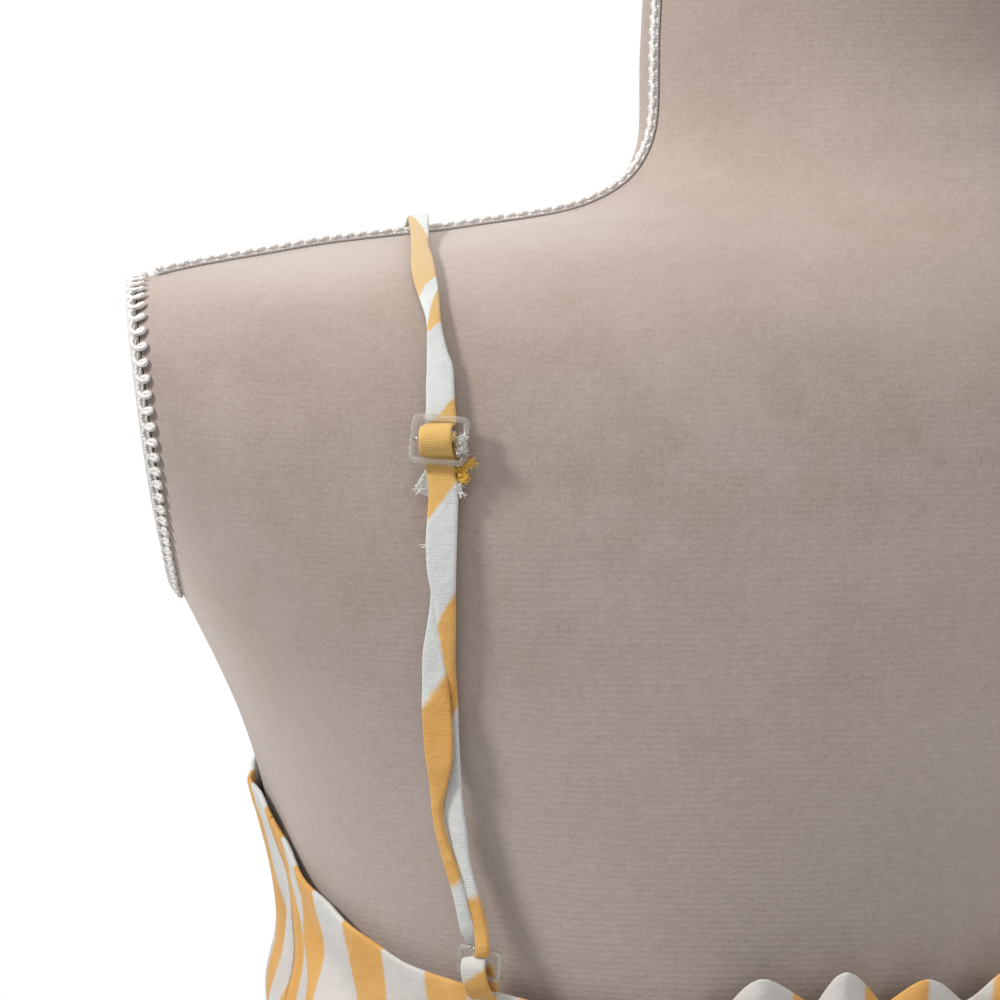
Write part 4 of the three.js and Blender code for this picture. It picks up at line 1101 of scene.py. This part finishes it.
marks += [[SLIDER_UP + a, SLIDER_LIFT + b, 0, 6.9, 1]
          for a, b in ((-railed - 1, -2.95), (-3, -2.9), (-1.6, -2.3))]
marks += turn_round(SLIDER_UP, SLIDER_LIFT, inner_turn, -100, 118, 14, -0.3, 7.1, 1)


def strap_stripes(s, w, layer):
    down = stripe_numbers(s, w, DOWN_STRIPES, 0)
    down = len(DOWN_STRIPES) - 1 - down + 20
    up = stripe_numbers(s, w, UP_STRIPES, 39)
    return np.where(layer[:, None] < 0.5, down, up)


strap_marks = resample(marks, 0.85)
for name in ("left", "right"):
    piece, run = ribbon(f"strap_cloth_{name}", strap_marks, strap_stripes)
    if name == "right":
        mirror(piece)
    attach(piece, "root")
    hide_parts(f"strap_{name}")
    # The width and area are stated low: the real tube is about 14.5 mm round. The report says why.
    round(run / 1000, 3)
    round(0.0066 * run / 1000, 6)

# ---------------------------------------------------------------- the ring tabs
# A short loop of strap holds each ring. Both of its ends are sewn inside the bodice's top edge.
TAB = [(-15, 3.9), (-11, 4.3), (-8.6, 5.3), (-7, 6.9), (-5, 7.9), (-2.6, 8.3), (-0.4, 8.2), (1.0, 7.5),
       (1.5, 6.5), (1.0, 5.5), (-1, 4.8), (-4, 4.3), (-8, 3.9), (-11, 3.2), (-15, 2.7)]  # along, rise
TAB_STRIPES = [[-30, -26], [-4.2, -0.4], [22, 26]]
tab_marks = resample([[s, rise, -0.9 + 0.04 * s, 6.3 - 0.06 * s, 0] for s, rise in TAB], 0.45)
for name in ("left", "right"):
    piece, run = ribbon(f"ring_tab_cloth_{name}", tab_marks,
                        lambda s, w, layer: stripe_numbers(s, w, TAB_STRIPES, 40), 0.95, 0.1)
    if name == "right":
        mirror(piece)
    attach(piece, "root")
    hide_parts(f"ring_tab_{name}")
    # The width and area are stated low here too: the real tube is about 14.5 mm round.
    round(run / 1000, 3)
    round(0.0064 * run / 1000, 6)

# ---------------------------------------------------------------- the sliders and rings
# Clear moulded plastic: a slider with a middle bar, and a small rounded ring. They are held only by the
# strap that runs through them, and the slider can be pushed along it to set the strap's length.
clear = Finish("clear plastic", Roughness=0.09, IOR=1.49, Transmission_Weight=0.85,
               Specular_IOR_Level=0.6)
ripple = clear.cloud(clear.place(), 900.0, 3.0, 0.6)
clear.feed("Base Color", clear.mix(ripple, paint(250, 248, 242), paint(232, 229, 222)))
clear.feed("Roughness", 0.04 + ripple * 0.16)
clear.feed("Normal", clear.relief(ripple, 0.0006, 0.6))


def rounded_path(half, tall, corner, steps=6):
    made = []
    for k, (x, y) in enumerate(((1, -1), (1, 1), (-1, 1), (-1, -1))):
        for a in np.radians(np.linspace(-90, 0, steps) + 90 * k):
            made.append((x * (half - corner) + corner * math.cos(a),
                         y * (tall - corner) + corner * math.sin(a)))
    return np.array(made)


def seated_bar(path, wide, thick, s, rise, aside, spin, ring):
    """A bar's rounded section along a flat path, as loops seated on the strap's line and spun in its plane."""
    after = np.roll(path, -1, 0) - np.roll(path, 1, 0)
    if not ring:
        after = np.gradient(path, axis=0)
    side = unit(after)[:, ::-1] * [1, -1]
    foot, out, up, across = track(s)
    a = math.radians(spin)
    loops = []
    for p, way in zip(path, side):
        loop = []
        for angle in np.linspace(0, 2 * math.pi, 12, endpoint=False):
            c, d = math.cos(angle), math.sin(angle)
            x, y = p + way * np.sign(c) * abs(c) ** 0.7 * wide / 2
            x, y = x * math.cos(a) + y * math.sin(a), y * math.cos(a) - x * math.sin(a)
            loop.append(foot + across * (x + aside) + up * y
                        + out * (rise + np.sign(d) * abs(d) ** 0.7 * thick / 2))
        loops.append(loop)
    return np.array(loops)


def join(name, parts):
    made = bmesh.new()
    for part in parts:
        made.from_mesh(part.data)
        bpy.data.objects.remove(part)
    mesh = bpy.data.meshes.new(name)
    made.to_mesh(mesh)
    made.free()
    mesh.materials.append(clear.material)
    mesh.shade_smooth()
    piece = bpy.data.objects.new(name, mesh)
    bpy.context.scene.collection.objects.link(piece)
    return piece


SLIDER_SPIN, RING_SPIN = 7, 14
bar_line = np.stack([np.linspace(-SLIDER_WIDE / 2 + 0.9, SLIDER_WIDE / 2 - 0.9, 9), np.zeros(9)], -1)
slider_loops = seated_bar(rounded_path((SLIDER_WIDE - 1.6) / 2, (SLIDER_TALL - RAIL) / 2, 1.0), 1.45, 1.3,
                          SLIDER_UP, SLIDER_LIFT, -0.6, SLIDER_SPIN, True)
bar_loops = seated_bar(bar_line, 1.0, 1.25, SLIDER_UP, SLIDER_LIFT, -0.6, SLIDER_SPIN, False)
ring_loops = seated_bar(rounded_path(RING_HALF, RING_TALL, 1.1), 2 * RING_WIRE, 2 * RING_WIRE,
                        0, RING_LIFT, 0, RING_SPIN, True)
for name, way in (("left", np.ones(3)), ("right", MIRROR)):
    slider = join(f"slider_clear_{name}", [loft("frame", slider_loops * way, clear, ring=True),
                                           loft("bar", bar_loops * way, clear)])
    ring = join(f"ring_clear_{name}", [loft("ring", ring_loops * way, clear, ring=True)])
    for piece, node in ((slider, "slider"), (ring, "ring")):
        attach(piece, "root")
        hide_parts(f"{node}_{name}")

# ---------------------------------------------------------------- the frayed ends
# The raw end of each strap sticks out behind the slider: a small flap of cloth that has come undone into
# short curled threads, white and yellow.
FLAP = np.array([  # along, left edge, right edge
    [119.6, -2.6, 3.4], [117.5, -2.8, 4.2], [115.4, -3.0, 3.7], [114, -3.3, 4.6], [112, -4.0, 4.9],
    [110, -5.3, 4.3], [108, -6.0, 3.6], [106.8, -4.2, 3.0], [106, -2.0, 2.4]])
fray = np.random.default_rng(7)
across_share = np.linspace(0, 1, 26)
flap_s = np.linspace(119.6, 106, 34)
left, right = np.interp(flap_s, *FLAP[::-1, :2].T), np.interp(flap_s, FLAP[::-1, 0], FLAP[::-1, 2])
left, right = (edge + fray.normal(0, 0.16, edge.shape) for edge in (left, right))
spread = left[:, None] + (right - left)[:, None] * across_share
foot, out, up, way_across = track(flap_s)
rise = (1.2 + 0.25 * np.sin(spread * 1.7) + 0.5 * np.clip(np.abs(spread) - 3, 0, 3)
        + fray.normal(0, 0.05, spread.shape))
flap = foot[:, None] + out[:, None] * rise[..., None] + way_across[:, None] * spread[..., None]
flap_number = np.where((spread > 1.8) & (flap_s[:, None] < 115.2) & (flap_s[:, None] > 109.6), 40.5, 41.5)
frayed, into = new_tree("frayed threads", {"Radius": "Float", "Curl": "Float", "Curl size": "Float",
                                           "Finish": "Material"})
spots = frayed.node("GeometryNodeMeshToPoints", {}, {0: into["Geometry"]})
way = frayed.node("GeometryNodeInputNamedAttribute", {"data_type": "FLOAT_VECTOR"}, {"Name": "out"})
strand = frayed.node("GeometryNodeCurvePrimitiveLine", {}, {"End": (0, 0, 1)})
strand = frayed.node("GeometryNodeResampleCurve", {}, {"Curve": strand, "Count": 9})
facing = frayed.node("FunctionNodeAlignRotationToVector", {"axis": "Z"}, {"Vector": way})
size = frayed.node("ShaderNodeVectorMath", {"operation": "LENGTH"}, {0: way}, 1)
strands = frayed.node("GeometryNodeInstanceOnPoints", {}, {"Points": spots, "Instance": strand,
                                                           "Rotation": facing, "Scale": size})
strands = frayed.node("GeometryNodeRealizeInstances", {}, {0: strands})
gone = frayed.node("GeometryNodeSplineParameter", outlet="Factor")
blown = frayed.node("ShaderNodeTexNoise", {}, {"Scale": into["Curl size"], "Detail": 1.0}, "Color")
blown = frayed.node("ShaderNodeVectorMath", {"operation": "SUBTRACT"}, {0: blown, 1: (0.5, 0.5, 0.5)})
strands = frayed.node("GeometryNodeSetPosition", {},
                      {"Geometry": strands, "Offset": scaled(frayed, blown, gone * gone * into["Curl"])})
round_thread = frayed.node("GeometryNodeCurvePrimitiveCircle", {},
                           {"Resolution": 4, "Radius": into["Radius"]})
threads = frayed.node("GeometryNodeCurveToMesh", {}, {"Curve": strands, "Profile Curve": round_thread})
close_tree(frayed, threads, into["Finish"])
lint = {}
for label, low, high in (("white", (222, 220, 214), (240, 238, 232)),
                         ("yellow", (236, 178, 40), (246, 214, 96))):
    made = Finish(f"{label} lint", Roughness=0.9, Sheen_Weight=0.3, Specular_IOR_Level=0.2)
    made.feed("Base Color", made.mix(made.cloud(made.place(), 1400.0, 2.0), paint(*low), paint(*high)))
    made.feed("Roughness", 0.8 + made.cloud(made.place(), 700.0) * 0.15)
    lint[label] = made
CLUMPS = [  # colour, threads, along, across, reach along, reach across, length, way across, way along
    ("white", 210, 116.6, 4.3, 2.3, 0.9, 1.1, 0.6, 0.1), ("white", 26, 108.8, 3.6, 1.6, 0.7, 1.6, 0.6, -0.8),
    ("yellow", 300, 111.4, 4.2, 1.8, 0.9, 1.1, 0.9, 0.0), ("yellow", 50, 113.2, 5.2, 0.5, 0.5, 2.0, 1.0, 0.3),
    ("white", 26, 108.9, -5.0, 1.5, 0.7, 0.8, -0.7, -0.6), ("white", 5, 95.6, -3.6, 0.6, 0.2, 1.3, -1.0, 0.2)]
flap_wide, flap_long, flap_area = measure(flap)
for name, sides in (("left", np.ones(3)), ("right", MIRROR)):
    piece = cloth_shell(f"strap_end_{name}", flap * sides, flap_number,
                        np.stack([spread, np.repeat(flap_s[:, None], 26, 1)], -1), striped, 0.5)
    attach(piece, "root")
    for label in ("white", "yellow"):
        fray = np.random.default_rng(11)
        points, ways = [], []
        for colour, count, s, aside, deep, wide, long, side_way, up_way in CLUMPS:
            s_all = s + deep * fray.uniform(-1, 1, count)
            foot, out, up, way_across = track(s_all)
            at = aside + wide * fray.uniform(-1, 1, count)
            lifted = 1.6 + fray.uniform(0, 1.4, count) + np.clip(s_all - 114.5, 0, 1) * 2.9
            turn = fray.normal(0, 0.55, (3, count))
            ways_here = unit(way_across * (side_way + turn[0])[:, None] + up * (up_way + turn[1])[:, None]
                             + out * np.abs(0.35 + turn[2])[:, None])
            ways_here *= (long * fray.uniform(0.5, 1.2, count))[:, None]
            if colour == label:
                points += list(foot + out * lifted[:, None] + way_across * at[:, None])
                ways += list(ways_here)
        piece = outline_piece(f"fray_{label}_{name}", np.array(points) * sides,
                              np.array(ways) * sides / 1000)
        grown(piece, frayed, {"Radius": 0.00008, "Curl": 0.0022, "Curl size": 700.0,
                              "Finish": lint[label].material})
        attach(piece, "root")
